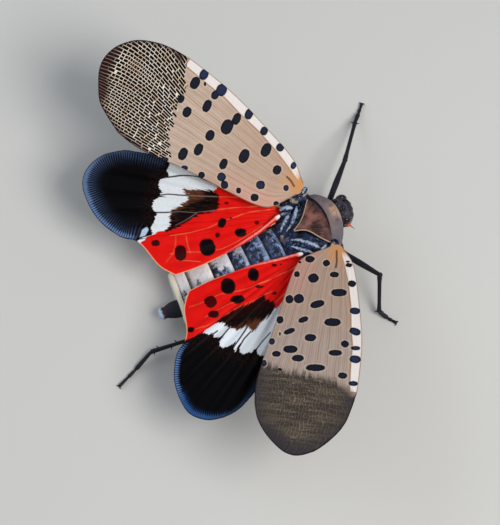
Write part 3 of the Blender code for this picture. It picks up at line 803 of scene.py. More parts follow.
def lay_leather(p, tones, cloud, grain, fine_grain):
    """The tan ground with its fine lines, veins, orange root, cream front strip and rim."""
    u, v, along, across = (p.read(label) for label in ("u", "v", "along", "across"))
    p.skin = p.mix(cloud, *tones["ground"])
    p.lay(p.step(fine_grain, 0.4, 0.7) * 0.35, (152, 130, 116))
    p.lay(p.step(u, 11.0, 5.0) * 0.45, (174, 140, 116))
    p.lay(p.step(v, -0.3, -2.9) * p.step(u, 9.0, 2.0) * 0.55, tones["flush"])
    wave = p.noise(p.point(along * 4, across * 9), 1.0, 2.0) - 0.5
    for lines, start, strength in ((12, 0.0, 0.60), (24, 0.30, 0.40)):
        line = abs(p.part(across * lines + wave * 0.8) - 0.5)
        fine = p.step(line, 0.07 * lines / 12, 0.01) * p.step(along, start, start + 0.15)
        p.lay(fine * strength, (146, 100, 80))
    p.lay(p.step(p.read("ridge"), 0.35, 0.95) * 0.35, (182, 122, 100))
    p.lay(p.step(u, 3.2, 0.5) * p.step(v, -0.9, 0.5) * 0.85, (208, 144, 86))
    p.lay(p.step(p.read("slit") + (grain - 0.5) * 0.5, 0.15, 0.7) * 0.85, (84, 50, 30))
    costal = p.read("costal")
    cream = p.mix(grain, (222, 212, 206), (246, 238, 236))
    p.lay(p.step(costal, -0.02, 0.12) * p.step(u, 0.5, 1.6), cream)
    p.lay(p.step(abs(costal), 0.10, 0.03) * p.step(u, 1.0, 3.0) * 0.7, (164, 116, 84))
    p.lay(p.step(p.read("rim") + grain * 0.05, 0.15, 0.06) * 0.75, (128, 92, 72))


def lay_net(p, side, flat, cloud):
    """Rays of cells over the wing's end and its dusky band. Gives where the net is, and its rays' lines."""
    tones = FORE_TONES[side]
    u, v, net, tip = (p.read(label) for label in ("u", "v", "net", "tip"))
    ray = p.read("ray") + (p.noise(flat, 1.3, 1.0) - 0.5) * tones["waver"]
    row, from_vein = p.whole(ray), p.from_line(ray)
    wander = p.noise(p.point(u * 0.9, row * 3.7), 1.0, 2.0)
    length = p.draw(row, 0.31) * 0.40 + 0.68 - p.step(u, 16.0, 21.0) * 0.16
    from_cross = p.from_line((u + wander * 1.6) / length + p.draw(row, 5.7) * 9) * length
    cell = p.maths("MINIMUM", p.step(from_vein, 0.065, 0.14), p.step(from_cross, 0.025, 0.055))
    net_on = p.step(net + (p.draw(row, 2.3) - 0.5) * 0.5, *tones["net_edge"])
    if side == "left":
        pale, dark = p.mix(p.step(cloud, 0.3, 0.7), (226, 200, 172), (250, 238, 224)), (4, 4, 7)
    else:
        wave = p.step(p.noise(p.point(u * 3.2, ray * 0.10), 1.0, 2.0), 0.44, 0.58)
        pale = p.mix(wave, (96, 86, 75), (122, 109, 94))
        pale = p.mix(p.step(tip, 2.6, 0.2), pale, (80, 74, 73))
        dark = p.mix(wave, (62, 55, 50), (82, 73, 64))
    p.lay(net_on, p.mix(cell, pale, dark))
    far = p.step(u, 18.8, 20.6) * p.step(v, 3.4, 1.6) * p.step(v, -2.4, -1.4)
    stigma = p.step(u, 17.3, 16.2) * p.step(v, 3.6, 4.4)
    width = 0.24 + far * 0.75 + stigma * 0.4 + (p.noise(flat, 1.1, 2.0) - 0.5) * 0.4
    band = p.step(tip - width, tones["fade"], -tones["fade"]) * p.step(net, 0.25, 0.7)
    p.lay(band, p.mix(p.step(from_vein, 0.16, 0.08), *tones["band"]))
    p.lay(p.step(p.read("rim"), 0.12, 0.05) * p.step(net, 0.0, 0.5), (38, 26, 26))
    return net_on, p.step(from_vein, 0.22, 0.05)


def forewing_paint(side):
    """The tan forewing with its net of cells and its spots, which are black with a blue middle."""
    tones = FORE_TONES[side]
    p = Paint(tones["name"], Specular_IOR_Level=0.08)
    flat = p.point(p.read("u"), p.read("v"))
    cloud, grain, fine_grain = p.noise(flat, 0.8, 2.0), p.noise(flat, 6.0), p.noise(flat, 14.0)
    lay_leather(p, tones, cloud, grain, fine_grain)
    net_on, lines = lay_net(p, side, flat, cloud)
    depth = p.read("spots") + (grain - 0.5) * 0.10
    p.lay(p.step(depth, -0.12, -0.04) * 0.25 * (1 - net_on), (226, 208, 192))
    ink = p.mix(p.read("tint"), (24, 28, 42), (40, 52, 88))
    ink = p.mix(p.step(depth, 0.20, 0.04), ink, (8, 9, 14))
    p.lay(p.step(depth, -0.02, 0.05), ink)
    return p.finish(grain, 0.42, 0.2, lines * net_on + fine_grain * 0.3, 0.03)


def lay_blue_rim(p, fray, rim_blue, streak_blue, reach_in):
    """The blue rim of the black end and the streaks that run in from it. Gives where the streaks are."""
    v, tip = p.read("v"), p.read("tip")
    streak = p.step(abs(p.part(p.read("run") / STREAK_SPACING) - 0.5), 0.10, 0.36)
    inside = p.step(p.read("black"), 0.1, 0.9)
    low = p.step(v, -7.2, -8.4) * p.step(p.read("reach"), 11.0, 12.0)
    narrow = p.step(v, -5.8, -3.0) * 0.30
    streaks = streak * p.step(tip + fray * 0.6 + narrow * 2 + low * 0.5, reach_in, 0.2) * inside
    p.lay(streaks * 0.9, p.mix(p.step(tip, reach_in, 0.3), (18, 22, 34), streak_blue))
    tone = p.mix(p.step(v, -5.8, -2.6) * 0.8, rim_blue, (52, 66, 92))
    tone = p.mix(low * streak * 0.8, tone, (104, 134, 184))
    tone = p.mix(low * (1 - streak) * 0.7, tone, (34, 44, 78))
    from_rim = tip + fray * 0.3 - streak * 0.12 + low * 0.08 + narrow
    p.lay(p.step(from_rim, 0.55, 0.22) * inside, tone)
    p.lay(p.step(tip, 0.09, 0.03) * inside, (24, 30, 46))
    return streaks


def hindwing_paint(name, white, rim_blue, streak_blue, reach_in):
    """The red hindwing with its spots, white lobes, brown patch and black end."""
    p = Paint(name, Specular_IOR_Level=0.04)
    turn, reach, pale, from_black, dark_veins = (
        p.read(label) for label in ("turn", "reach", "pale", "black", "dark_veins")
    )
    flat = p.point(p.read("u"), p.read("v"))
    cloud, grain = p.noise(flat, 0.9, 2.0), p.noise(flat, 5.0)
    fray = p.noise(p.point(reach * 0.9, turn * 5.0), 1.0) - 0.5
    hair = p.noise(p.point(reach * 1.1, turn * 14.0), 1.0) - 0.5
    p.skin = p.mix(cloud, (206, 12, 12), (236, 26, 20))
    p.lay(p.step(reach, 4.0, 0.5) * 0.3, (236, 52, 40))
    pale_vein = p.step(p.read("pale_veins"), 0.25, 0.95)
    p.lay(pale_vein * (cloud * 0.6 + 0.10), (250, 138, 90))

    depth = p.read("spots") + (grain - 0.5) * 0.16
    ink = p.mix(p.read("tint"), (10, 5, 8), (120, 6, 10))
    ink = p.mix(p.step(depth, 0.3, 0.0) * 0.5, ink, (48, 4, 8))
    p.lay(p.step(depth, -0.03, 0.06), ink)

    pale_on = p.step(pale + fray * 0.5, -0.03, 0.05)
    p.lay(pale_on, p.mix(grain, white, (240, 243, 248)))
    dark_vein = p.step(dark_veins, 0.15, 0.85)
    p.lay(dark_vein * 0.95 * pale_on, (22, 15, 18))
    tufts = p.step(hair * 1.3 + p.step(pale, 0.3, 1.5) * 0.45, 0.14, 0.46)
    umber = p.mix(tufts, (14, 7, 7), (92, 52, 34))
    umber = p.mix(p.step(hair, 0.08, 0.22) * 0.5, umber, (132, 66, 40))
    umber = p.mix(p.step(pale, 0.3, -0.2) * 0.8, umber, (34, 4, 5))
    brown_on = p.step(p.read("brown") + fray * 0.6 + hair * 0.9, -0.17, -0.05)
    p.lay(brown_on, umber)
    p.lay(brown_on * p.step(dark_veins, 0.5, 0.95) * 0.6, (130, 124, 122))

    black = from_black + (p.noise(flat, 3.0) - 0.5) * 0.16 + hair * 0.5 + 0.02
    rust = p.step(grain, 0.4, 0.75) * p.step(from_black, 1.8, 0.2) * 0.6
    p.lay(p.step(black, -0.02, 0.05), p.mix(rust, (5, 4, 6), (52, 26, 20)))
    streaks = lay_blue_rim(p, fray, rim_blue, streak_blue, reach_in)
    p.lay(p.step(p.read("fold"), -0.04, 0.08), (176, 200, 226))
    p.lay(p.step(p.read("rim"), 0.11, 0.04) * p.step(black, 0.1, -0.2) * 0.8, (240, 186, 140))
    relief = pale_vein + dark_vein * 0.8 + grain * 0.3 + streaks * 0.5
    return p.finish(grain, 0.36, 0.22, relief, 0.03)


# Body

BODY_POWER, ABDOMEN_POWER = 2.5, 2.2
# How far the collar's rear and front edges bow, in millimetres at 1 mm from the midline, and its turn.
COLLAR_BOW, COLLAR_FRONT_BOW, COLLAR_TURN = 0.09, 0.12, 0.07
# Rings along y as (y, height of the centre, half width, rise above it, drop below it).
HEAD_RINGS = [
    (-4.24, 4.85, 0.3, 0.4, 0.55), (-4.14, 4.85, 0.74, 0.75, 1.05), (-3.88, 4.85, 1.1, 1.05, 1.45),
    (-3.5, 4.85, 1.32, 1.2, 1.6), (-3.15, 4.85, 1.36, 1.25, 1.55), (-2.6, 4.9, 1.32, 1.2, 1.4),
]
PRONOTUM_RINGS = [
    (-2.85, 4.95, 1.85, 1.35, 1.3), (-2.72, 4.95, 2.4, 1.6, 1.45), (-2.35, 4.95, 2.9, 1.9, 1.6),
    (-1.9, 4.95, 3.05, 2.05, 1.7), (-1.2, 4.95, 3.05, 2.1, 1.75),
]
THORAX_RINGS = [
    (-1.7, 5.05, 2.6, 1.8, 1.8), (-1.15, 5.1, 2.95, 1.95, 2.0), (-0.6, 5.1, 3.0, 1.95, 2.15),
    (0.4, 5.1, 2.95, 1.75, 2.25), (1.3, 5.0, 2.75, 1.6, 2.15), (2.2, 4.8, 2.5, 1.5, 1.9),
    (3.05, 4.6, 2.2, 1.35, 1.6), (3.4, 4.45, 1.8, 1.15, 1.4),
]
# Pits on each side of the collar: depth, place and width aside, and place along it.
COLLAR_PITS = ((0.14, 0.75, 0.265, 0.55), (0.10, 1.6, 0.245, 0.62))
SHIELD_TOP, SHIELD_WALL = 7.28, 0.32
SHIELD_EDGES = {
    "base": [(-2.65, -0.64), (-1.5, -1.06), (0.0, -1.22), (1.4, -1.06), (2.3, -0.58)],
    "margin": [(-0.12, 1.95), (-0.02, 2.0), (0.08, 1.95)],
    "trailing": [(-2.65, -0.64), (-1.74, 0.15), (-0.78, 0.82), (-0.38, 1.35), (-0.12, 1.95)],
    "leading": [(2.3, -0.58), (1.5, 0.09), (0.83, 0.7), (0.38, 1.3), (0.08, 1.95)],
}
ABDOMEN_FRONT, ABDOMEN_REAR, SEGMENTS = 3.25, 14.05, 6
ABDOMEN_SWAY, ABDOMEN_SKEW = 0.35, -0.12
# Where each band of the abdomen starts, in sixths of its length, and how a band swells along its share.
BAND_STARTS = (-0.05, 0.87, 1.92, 2.75, 3.85, 5.17, 5.75, 6.0)
BAND_SWELL = (
    (0.0, -0.16), (0.02, 0.02), (0.06, 0.09), (0.16, 0.13),
    (0.35, 0.12), (0.60, 0.04), (0.82, -0.07), (0.95, -0.16),
)
# The rounded rear end of the abdomen: how far behind its last ring, and which share of its size.
ABDOMEN_END = ((0.04, 0.85), (0.02, 0.5), (0.01, 0.05))
TAIL_RINGS = [
    (13.85, 1.85, 0.84, 0.66, 0.7), (14.35, 1.75, 0.86, 0.66, 0.68), (14.8, 1.7, 0.8, 0.6, 0.62),
    (15.2, 1.62, 0.66, 0.48, 0.52), (15.5, 1.56, 0.54, 0.42, 0.44), (15.72, 1.52, 0.58, 0.45, 0.45),
    (15.95, 1.5, 0.52, 0.38, 0.38), (16.08, 1.48, 0.32, 0.24, 0.24), (16.12, 1.48, 0.05, 0.04, 0.04),
]
TAIL_SWAY = (-0.40, 0.10)
EYES = {
    "left": ((1.24, -3.40, 5.00), (0.40, 0.56, 0.64)),
    "right": ((-1.00, -3.32, 5.05), (0.40, 0.54, 0.64)),
}
BULBS = {"left": (1.26, -3.62, 3.95), "right": (-1.08, -3.5, 4.42)}
BULB_RADIUS, DIMPLE_DEPTH = 0.33, 0.05
# Routes of the left antenna's bristle and stalk from the middle of its bulb, and their radii.
BRISTLE = [(0.15, -0.18, -0.12), (0.38, -0.40, -0.25), (0.58, -0.58, -0.34)]
STALK = [(-0.30, 0.17, 0.22), (-0.15, 0.08, 0.12), (0.0, 0.0, 0.0)]
BRISTLE_RADII, STALK_RADII = np.linspace(0.06, 0.015, 9), [0.20, 0.24, 0.25, 0.26, 0.24, 0.20]
# The head looks a little to the animal's right: its neck, its turn in degrees and how far it sits aside.
NECK_Y, HEAD_TURN, HEAD_ASIDE, HEAD_FORWARD = -2.8, -14.0, 0.42, 0.14
# The beak's route, and its radii at shares of its length.
BEAK = [(0.0, -3.45, 2.95), (0.0, -2.2, 2.45), (0.0, -0.3, 2.05)]
BEAK_RADII = ([0, 0.30, 0.34, 0.62, 0.66, 0.96, 1], [0.30, 0.26, 0.21, 0.24, 0.18, 0.15, 0.04])


def ring_points(turn, rings, bows, sway, skew, power):
    """Places round a body at these turns, each on its own ring."""
    y, z, half_width, rise, drop = rings.T
    x = half_width * np.sign(np.cos(turn)) * np.abs(np.cos(turn)) ** (2 / power)
    height = np.sign(np.sin(turn)) * np.abs(np.sin(turn)) ** (2 / power)
    height = np.where(height > 0, height * rise, height * drop)
    share = (y - y.min()) / (y.max() - y.min())
    bow = bows[0] + (bows[1] - bows[0]) * share
    aside = sway[0] + (sway[1] - sway[0]) * share
    return np.stack([x + aside, y + bow * x**2 + skew * share * x, z + height], axis=1)


def body(name, rings, sides, bows=(0.0, 0.0), sway=(0.0, 0.0), skew=0.0, power=BODY_POWER):
    """A closed body, extruded ring by ring from a circle and then shaped.

    The share of the length is kept on its points for the shader.
    """
    count = len(rings)
    facing = (math.pi / 2, 0, 0)
    bpy.ops.mesh.primitive_circle_add(vertices=sides, radius=1, fill_type="NGON", rotation=facing)
    piece = start_piece(name)
    bpy.ops.object.transform_apply(location=False, rotation=True, scale=False)
    push = {"TRANSFORM_OT_translate": {"value": (0, 1, 0)}}
    edit(piece, *[(bpy.ops.mesh.extrude_region_move, push)] * (count - 1))
    unit = read_points(piece)
    row = np.clip(np.rint(unit[:, 1]).astype(int), 0, count - 1)
    turn = np.arctan2(unit[:, 2], unit[:, 0])
    write_points(piece, ring_points(turn, np.array(rings, float)[row], bows, sway, skew, power))
    face_outwards(piece)
    write_values(piece, "share", row / (count - 1))
    return piece


def dense(rings, count):
    """More rings on a smooth run through these."""
    return smooth_curve(rings, shares(count))


def pronotum(paint):
    """The saddle-shaped collar, with a keel, pits and a proud rear lip."""
    piece = body("pronotum_shell", dense(PRONOTUM_RINGS, 40), 96, (COLLAR_FRONT_BOW, COLLAR_BOW))
    points = read_points(piece)
    x, z = points[:, 0], points[:, 2]
    share = read_values(piece, "share")
    top = np.clip((z - 5.2) / 1.2, 0, 1)
    pits = sum(
        depth * bell(np.abs(x), aside, width) * bell(share, along, 0.173)
        for depth, aside, width, along in COLLAR_PITS
    )
    hollow = 0.10 * bell(share, 0.30, 0.141) * bell(x, 0, 2.2)
    relief = 0.06 * bell(x, 0, 0.10) + 0.05 * bell(share, 0.93, 0.055) - pits - hollow - 0.06
    write_values(piece, "aside", x)
    write_values(piece, "pits", pits * top / COLLAR_PITS[0][0])
    points[:, 2] += relief * top
    points[:, 1] -= COLLAR_TURN * x
    write_points(piece, points)
    settle(piece, ["pronotum"], paint)


def mesonotum(paint):
    """The triangular shield: a domed sheet with a raised rim and faint ridges, given its wall."""
    bpy.ops.mesh.primitive_grid_add(x_subdivisions=70, y_subdivisions=90, size=1)
    piece = start_piece("mesonotum_shield")
    along, across = np.clip(read_points(piece)[:, :2] + 0.5, 0, 1).T
    flat = patch(SHIELD_EDGES, along, across)
    x, y = flat.T
    sides = [smooth_curve(SHIELD_EDGES[name], shares(40)) for name in ("trailing", "leading")]
    far = np.min([line_distance(flat, side)[0] for side in sides], axis=0)
    dome = SHIELD_TOP - 0.09 * x**2 - 0.10 * np.maximum(y - 0.3, 0) ** 2 - 0.5 * np.maximum(-0.85 - y, 0)
    rim = 0.09 * bell(far, 0.07, 0.09) - 0.05 * bell(far, 0.30, 0.12)
    ridges = 0.035 * sum(bell(x, lean * (1.9 - y), 0.09) for lean in (-0.42, 0.0, 0.42))
    z = dome + rim + ridges * np.clip(1.7 - y, 0, 1)
    write_points(piece, np.stack([x, y, z], axis=1))
    write_values(piece, "rim", far)
    write_values(piece, "ray", np.arctan2(x, 2.4 - y))
    write_values(piece, "far", np.hypot(x, 2.0 - y))
    top_count = len(piece.data.vertices)
    apply_modifier(piece, "SOLIDIFY", thickness=SHIELD_WALL, offset=1.0)
    # Marks the lower layer, which the paint darkens as painted shade.
    write_values(piece, "shaded_lower_layer", np.arange(len(piece.data.vertices)) < top_count)
    face_outwards(piece)
    settle(piece, ["mesonotum"], paint, 50)


# Rounded pads: ridges and hinge plates, with their radii along them as shares of their size.
PAD_SIDES, PAD_STEPS = 14, 16
BAR_PROFILE, PLATE_PROFILE = np.array([0.5, 1, 1, 0.8, 0.4]), np.array([0.6, 1, 1, 0.6])
BAR_FLATTEN, PLATE_FLATTEN, KNOB_FLATTEN = 0.6, 0.7, 0.9
# Slanting ridges behind the shield, each a route and its size, and the knob at their end.
BARS = [
    (
        [(2.3, 0.45, 6.4), (1.91, 0.73, 6.52), (1.32, 1.23, 6.55), (0.79, 1.83, 6.45), (0.5, 2.5, 6.2)],
        0.3,
    ),
    ([(2.2, 1.2, 6.25), (1.87, 1.5, 6.35), (1.47, 2.05, 6.3), (1.1, 2.6, 6.1), (0.7, 3.0, 5.9)], 0.26),
    (
        [
            (-2.5, 0.3, 6.35), (-2.21, 0.64, 6.42), (-1.57, 1.22, 6.52), (-0.93, 1.8, 6.48),
            (-0.4, 2.57, 6.2),
        ],
        0.3,
    ),
    ([(-2.5, 1.2, 6.15), (-2.2, 1.55, 6.2), (-1.61, 2.15, 6.18), (-0.91, 2.75, 6.02)], 0.26),
]
KNOB = [(-0.35, 3.00, 5.95), (0.05, 3.12, 6.05), (0.45, 3.02, 5.95)]
KNOB_RADII = [0.16, 0.24, 0.16]
# Small hinge plates at the wing roots, each a route, its size and its finish.
HINGES = [
    ([(2.45, -1.0, 6.7), (2.72, -0.3, 6.8), (2.72, 0.4, 6.78), (2.45, 1.1, 6.6)], 0.44, "dark"),
    ([(-2.45, -1.2, 6.75), (-2.85, -0.8, 6.9), (-3.15, -0.3, 6.92)], 0.38, "dark"),
    ([(3.02, -0.7, 6.85), (3.12, -0.3, 7.02), (3.08, 0.2, 6.95)], 0.3, "dark"),
    ([(2.55, 0.55, 6.45), (2.98, 1.2, 6.4), (3.1, 1.85, 6.2)], 0.4, "dark"),
    ([(2.35, 0.3, 7.05), (2.58, 0.62, 7.18), (2.75, 0.98, 7.05)], 0.27, "cream"),
    ([(2.1, 0.95, 6.85), (2.43, 1.6, 6.6), (2.64, 2.15, 6.3)], 0.36, "blue"),
    ([(1.95, 1.45, 6.55), (2.1, 1.85, 6.4), (2.22, 2.2, 6.2)], 0.24, "blue"),
    ([(3.32, -1.05, 7.05), (3.05, -0.72, 7.25), (2.85, -0.35, 7.2)], 0.24, "blue"),
    ([(2.75, -0.95, 7.0), (2.7, -0.65, 7.15), (2.62, -0.3, 7.05)], 0.14, "cream"),
    ([(-2.62, -0.9, 7.0), (-2.8, -0.68, 7.12), (-2.92, -0.42, 7.08)], 0.15, "cream"),
    ([(-3.12, -1.15, 6.85), (-3.32, -0.88, 7.02), (-3.3, -0.55, 7.05)], 0.22, "blue"),
    ([(-2.5, -0.1, 6.85), (-2.7, 0.25, 6.9), (-2.75, 0.6, 6.8)], 0.2, "blue"),
]


def radii_of(profile, count):
    """Even steps of a profile, which is shares of the length and the radii there."""
    return np.interp(shares(count), *profile)


def pad(name, route, radii, flatten):
    """A smooth rounded bar of changing size along a bent route, lower than it is wide."""
    sizes = radii_of((shares(len(radii)), radii), PAD_STEPS)
    sizes = sizes * np.sqrt(np.clip(1 - (2 * shares(PAD_STEPS) - 1) ** 6, 0.02, 1))
    return tube(name, smooth_curve(route, shares(PAD_STEPS)), sizes, PAD_SIDES, flatten)


def tube(name, line, sizes, sides, flatten=1.0):
    """A closed tube along a line of points, extruded from a circle and laid on the line."""
    bpy.ops.mesh.primitive_circle_add(vertices=sides, radius=1, fill_type="NGON")
    piece = start_piece(name)
    push = {"TRANSFORM_OT_translate": {"value": (0, 0, 1)}}
    edit(piece, *[(bpy.ops.mesh.extrude_region_move, push)] * (len(line) - 1))
    unit, line = read_points(piece), np.asarray(line, float)
    row = np.clip(np.rint(unit[:, 2]).astype(int), 0, len(line) - 1)
    way = np.gradient(line, axis=0)
    way = way / np.linalg.norm(way, axis=1)[:, None]
    beside = np.cross(way, (0.0, 0.0, 1.0))
    beside = beside / np.linalg.norm(beside, axis=1)[:, None]
    over = np.cross(beside, way) * flatten
    spread = unit[:, :1] * beside[row] + unit[:, 1:2] * over[row]
    write_points(piece, line[row] + np.asarray(sizes)[row, None] * spread)
    face_outwards(piece)
    write_values(piece, "crest", unit[:, 1])
    return piece


def thorax(paint, bar_paint, knob_paint):
    """The flesh between the shields, with the ridges of the hind part of the thorax and its end knob."""
    skin = body("thorax", dense(THORAX_RINGS, 60), 72, (COLLAR_BOW, 0.0))
    settle(skin, ["mesothorax", "metathorax"], paint)
    bars = [pad("bar", route, BAR_PROFILE * size, BAR_FLATTEN) for route, size in BARS]
    settle(join(bars, "thorax_bars"), (), bar_paint)
    settle(pad("thorax_knob", KNOB, KNOB_RADII, KNOB_FLATTEN), (), knob_paint)


def wing_roots(paints):
    for finish, paint in paints.items():
        chosen = [(route, size) for route, size, kind in HINGES if kind == finish]
        plates = [pad("plate", route, PLATE_PROFILE * size, PLATE_FLATTEN) for route, size in chosen]
        settle(join(plates, "wing_roots_" + finish), (), paint)


def abdomen_ring(place, swell):
    s = place / SEGMENTS
    widening = math.sin(math.pi / 2 * min(1, max(0, s) / 0.67))
    half_width = 1.95 + 0.95 * widening - 3.0 * max(0, s - 0.75) ** 2 + swell
    rise = 1.35 + 0.25 * math.sin(math.pi * s) - 0.35 * s + swell
    drop = 1.35 + 0.35 * math.sin(math.pi * s) - 0.25 * s + swell
    y = ABDOMEN_FRONT + (ABDOMEN_REAR - ABDOMEN_FRONT) * s
    return y, 4.05 - 1.95 * s, half_width, rise, drop


def abdomen_rings():
    """Bands that start with a proud edge, swell and fall away into the crease before the next."""
    rings = []
    for start, end in zip(BAND_STARTS, BAND_STARTS[1:]):
        size = min(1.0, end - start + 0.1)
        rings += [abdomen_ring(start + (end - start) * step, swell * size) for step, swell in BAND_SWELL]
    y, z, *sizes = rings[0]
    front = (y - 0.35, z, *(0.6 * size for size in sizes))
    y, z, *sizes = rings[-1]
    rear = [(y + back, z, *(share * size for size in sizes)) for back, share in ABDOMEN_END]
    return [front, *rings, *rear]


def abdomen(paint):
    rings = abdomen_rings()
    sway = (0.0, ABDOMEN_SWAY)
    piece = body("abdomen_skin", rings, 110, sway=sway, skew=ABDOMEN_SKEW, power=ABDOMEN_POWER)
    row = np.rint(read_values(piece, "share") * (len(rings) - 1)).astype(int)
    y = np.array([ring[0] for ring in rings])[row]
    place = (y - ABDOMEN_FRONT) / (ABDOMEN_REAR - ABDOMEN_FRONT) * SEGMENTS
    bands = np.interp(place, BAND_STARTS, range(len(BAND_STARTS)))
    write_values(piece, "bands", np.minimum(bands, len(BAND_STARTS) - 1.001))
    settle(piece, ["abdomen"], paint, 40)


def tail(paint):
    piece = body("tail", dense(TAIL_RINGS, 24), 40, sway=TAIL_SWAY, skew=ABDOMEN_SKEW)
    settle(piece, ["tail_tip"], paint)


def turn_head(piece):
    """Turns a piece of the head on the neck and moves it to its place."""
    cosine, sine = math.cos(math.radians(HEAD_TURN)), math.sin(math.radians(HEAD_TURN))
    x, y, z = read_points(piece).T
    y = y - NECK_Y
    aside, ahead = x * cosine - y * sine + HEAD_ASIDE, x * sine + y * cosine + NECK_Y - HEAD_FORWARD
    write_points(piece, np.stack([aside, ahead, z], axis=1))


def head(paint):
    piece = body("head_capsule", dense(HEAD_RINGS, 44), 80, (0.0, COLLAR_BOW))
    points = read_points(piece)
    x, y, z = points.T
    top = np.clip((z - 5.3) / 0.5, 0, 1)
    front = np.clip((-3.7 - y) / 0.4, 0, 1)
    crown = 0.10 * bell(np.abs(x), 0.95, 0.13) - 0.10 * bell(x, 0, 0.55) * bell(y, -3.3, 0.35)
    brow = 0.08 * bell(y, -3.95, 0.12) * bell(x, 0, 0.9)
    keels = sum(bell(x, aside, 0.09) for aside in (-0.55, 0.0, 0.55))
    points[:, 2] += (crown + brow - 0.08) * top
    points[:, 1] -= (0.05 * keels * (1 - top) - 0.04) * front
    write_points(piece, points)
    turn_head(piece)
    settle(piece, ["head"], paint)


def ball(name, segments, rings):
    bpy.ops.mesh.primitive_uv_sphere_add(segments=segments, ring_count=rings, radius=1)
    return start_piece(name)


def eyes(paint):
    for side, (centre, radii) in EYES.items():
        piece = ball("eye_ball_" + side, 48, 32)
        write_points(piece, read_points(piece) * radii + centre)
        turn_head(piece)
        settle(piece, ["eye_" + side], paint)


def antennae(paint, bristle_paint):
    """A dimpled bulb on a short stalk, with a fine bristle."""
    for side, sign in SIDES.items():
        mirror, centre = np.array([sign, 1, 1]), np.array(BULBS[side])
        bulb = ball("bulb", 40, 26)
        points = read_points(bulb)
        turn, tilt = np.arctan2(points[:, 1], points[:, 0]), points[:, 2]
        dimples = np.clip(np.cos(turn * 9) * np.cos(tilt * 11), 0, 1)
        write_points(bulb, points * BULB_RADIUS * (1 - DIMPLE_DEPTH * dimples)[:, None] + centre)
        bulb.data.materials.append(paint.material)
        parts = [bulb]
        threads = (
            ("bristle", BRISTLE, BRISTLE_RADII, 8, bristle_paint),
            ("stalk", STALK, STALK_RADII, 14, paint),
        )
        for name, route, radii, sides, finish in threads:
            line = smooth_curve(centre + np.array(route) * mirror, shares(len(radii)))
            thread = tube(name, line, radii, sides)
            thread.data.materials.append(finish.material)
            parts.append(thread)
        antenna = join(parts, "antenna_bulb_" + side)
        turn_head(antenna)
        settle(antenna, ["antenna_" + side], None)


def beak(paint):
    steps = 40
    rostrum = tube("rostrum", smooth_curve(BEAK, shares(steps)), radii_of(BEAK_RADII, steps), 16)
    settle(rostrum, ["beak"], paint)


# Legs: coxa, hip bend, knee, ankle and the end of the foot.
LEGS = {
    "leg_front_left": [
        (1.3, -1.9, 3.4), (2.3, -3.0, 3.1), (5.53, -6.49, 3.0), (9.4, -9.75, 0.75), (11.1, -11.45, 0.2),
    ],
    "leg_front_right": [
        (-1.3, -1.9, 3.4), (-2.6, -1.75, 3.1), (-6.42, -3.87, 3.4), (-8.84, -2.65, 0.75),
        (-10.48, -3.72, 0.2),
    ],
    "leg_middle_left": [
        (1.5, 0.1, 3.2), (2.5, 0.0, 2.8), (6.0, -1.0, 3.7), (9.0, 0.9, 0.75), (10.6, 1.7, 0.2),
    ],
    "leg_middle_right": [
        (-1.5, 0.2, 3.2), (-2.5, 0.2, 2.8), (-6.0, -0.6, 3.7), (-8.4, 2.2, 0.75), (-9.4, 3.6, 0.2),
    ],
    "leg_hind_left": [
        (1.3, 2.3, 3.3), (2.1, 2.8, 2.8), (6.0, 5.6, 3.7), (7.2, 10.6, 0.75), (7.3, 12.7, 0.2),
    ],
    "leg_hind_right": [
        (-1.3, 2.3, 3.3), (-2.1, 2.9, 2.8), (-5.0, 8.2, 3.3), (-2.65, 18.3, 0.75), (-4.2, 22.45, 0.2),
    ],
}
# Radii of the leg's parts at shares of their length, and of each joint of the foot.
THIGH_RADII = ([0, 0.2, 0.3, 0.6, 0.92, 1], [0.44, 0.40, 0.28, 0.31, 0.22, 0.20])
SHIN_RADII = ([0, 0.06, 0.2, 0.8, 1], [0.20, 0.25, 0.19, 0.18, 0.23])
FOOT_RADII = ([0, 0.2, 0.85, 1], [0.7, 0.85, 1.0, 0.55])
FOOT_THICKNESS, KNEE_RADIUS = (0.22, 0.17, 0.16), 0.26
CLAW_RADII, SPINE_RADII = np.linspace(0.08, 0.02, 8), [0.09, 0.07, 0.045, 0.012]
# Where spines stand along a shin, and on which side. The hind legs have more.
HIND_SPINES = [(0.35, 1), (0.55, 1), (0.75, 1), (0.92, 1), (0.96, -1), (0.80, -1)]
OTHER_SPINES = [(0.95, 1), (0.95, -1)]


def at_height(place, height):
    return np.array([place[0], place[1], height])


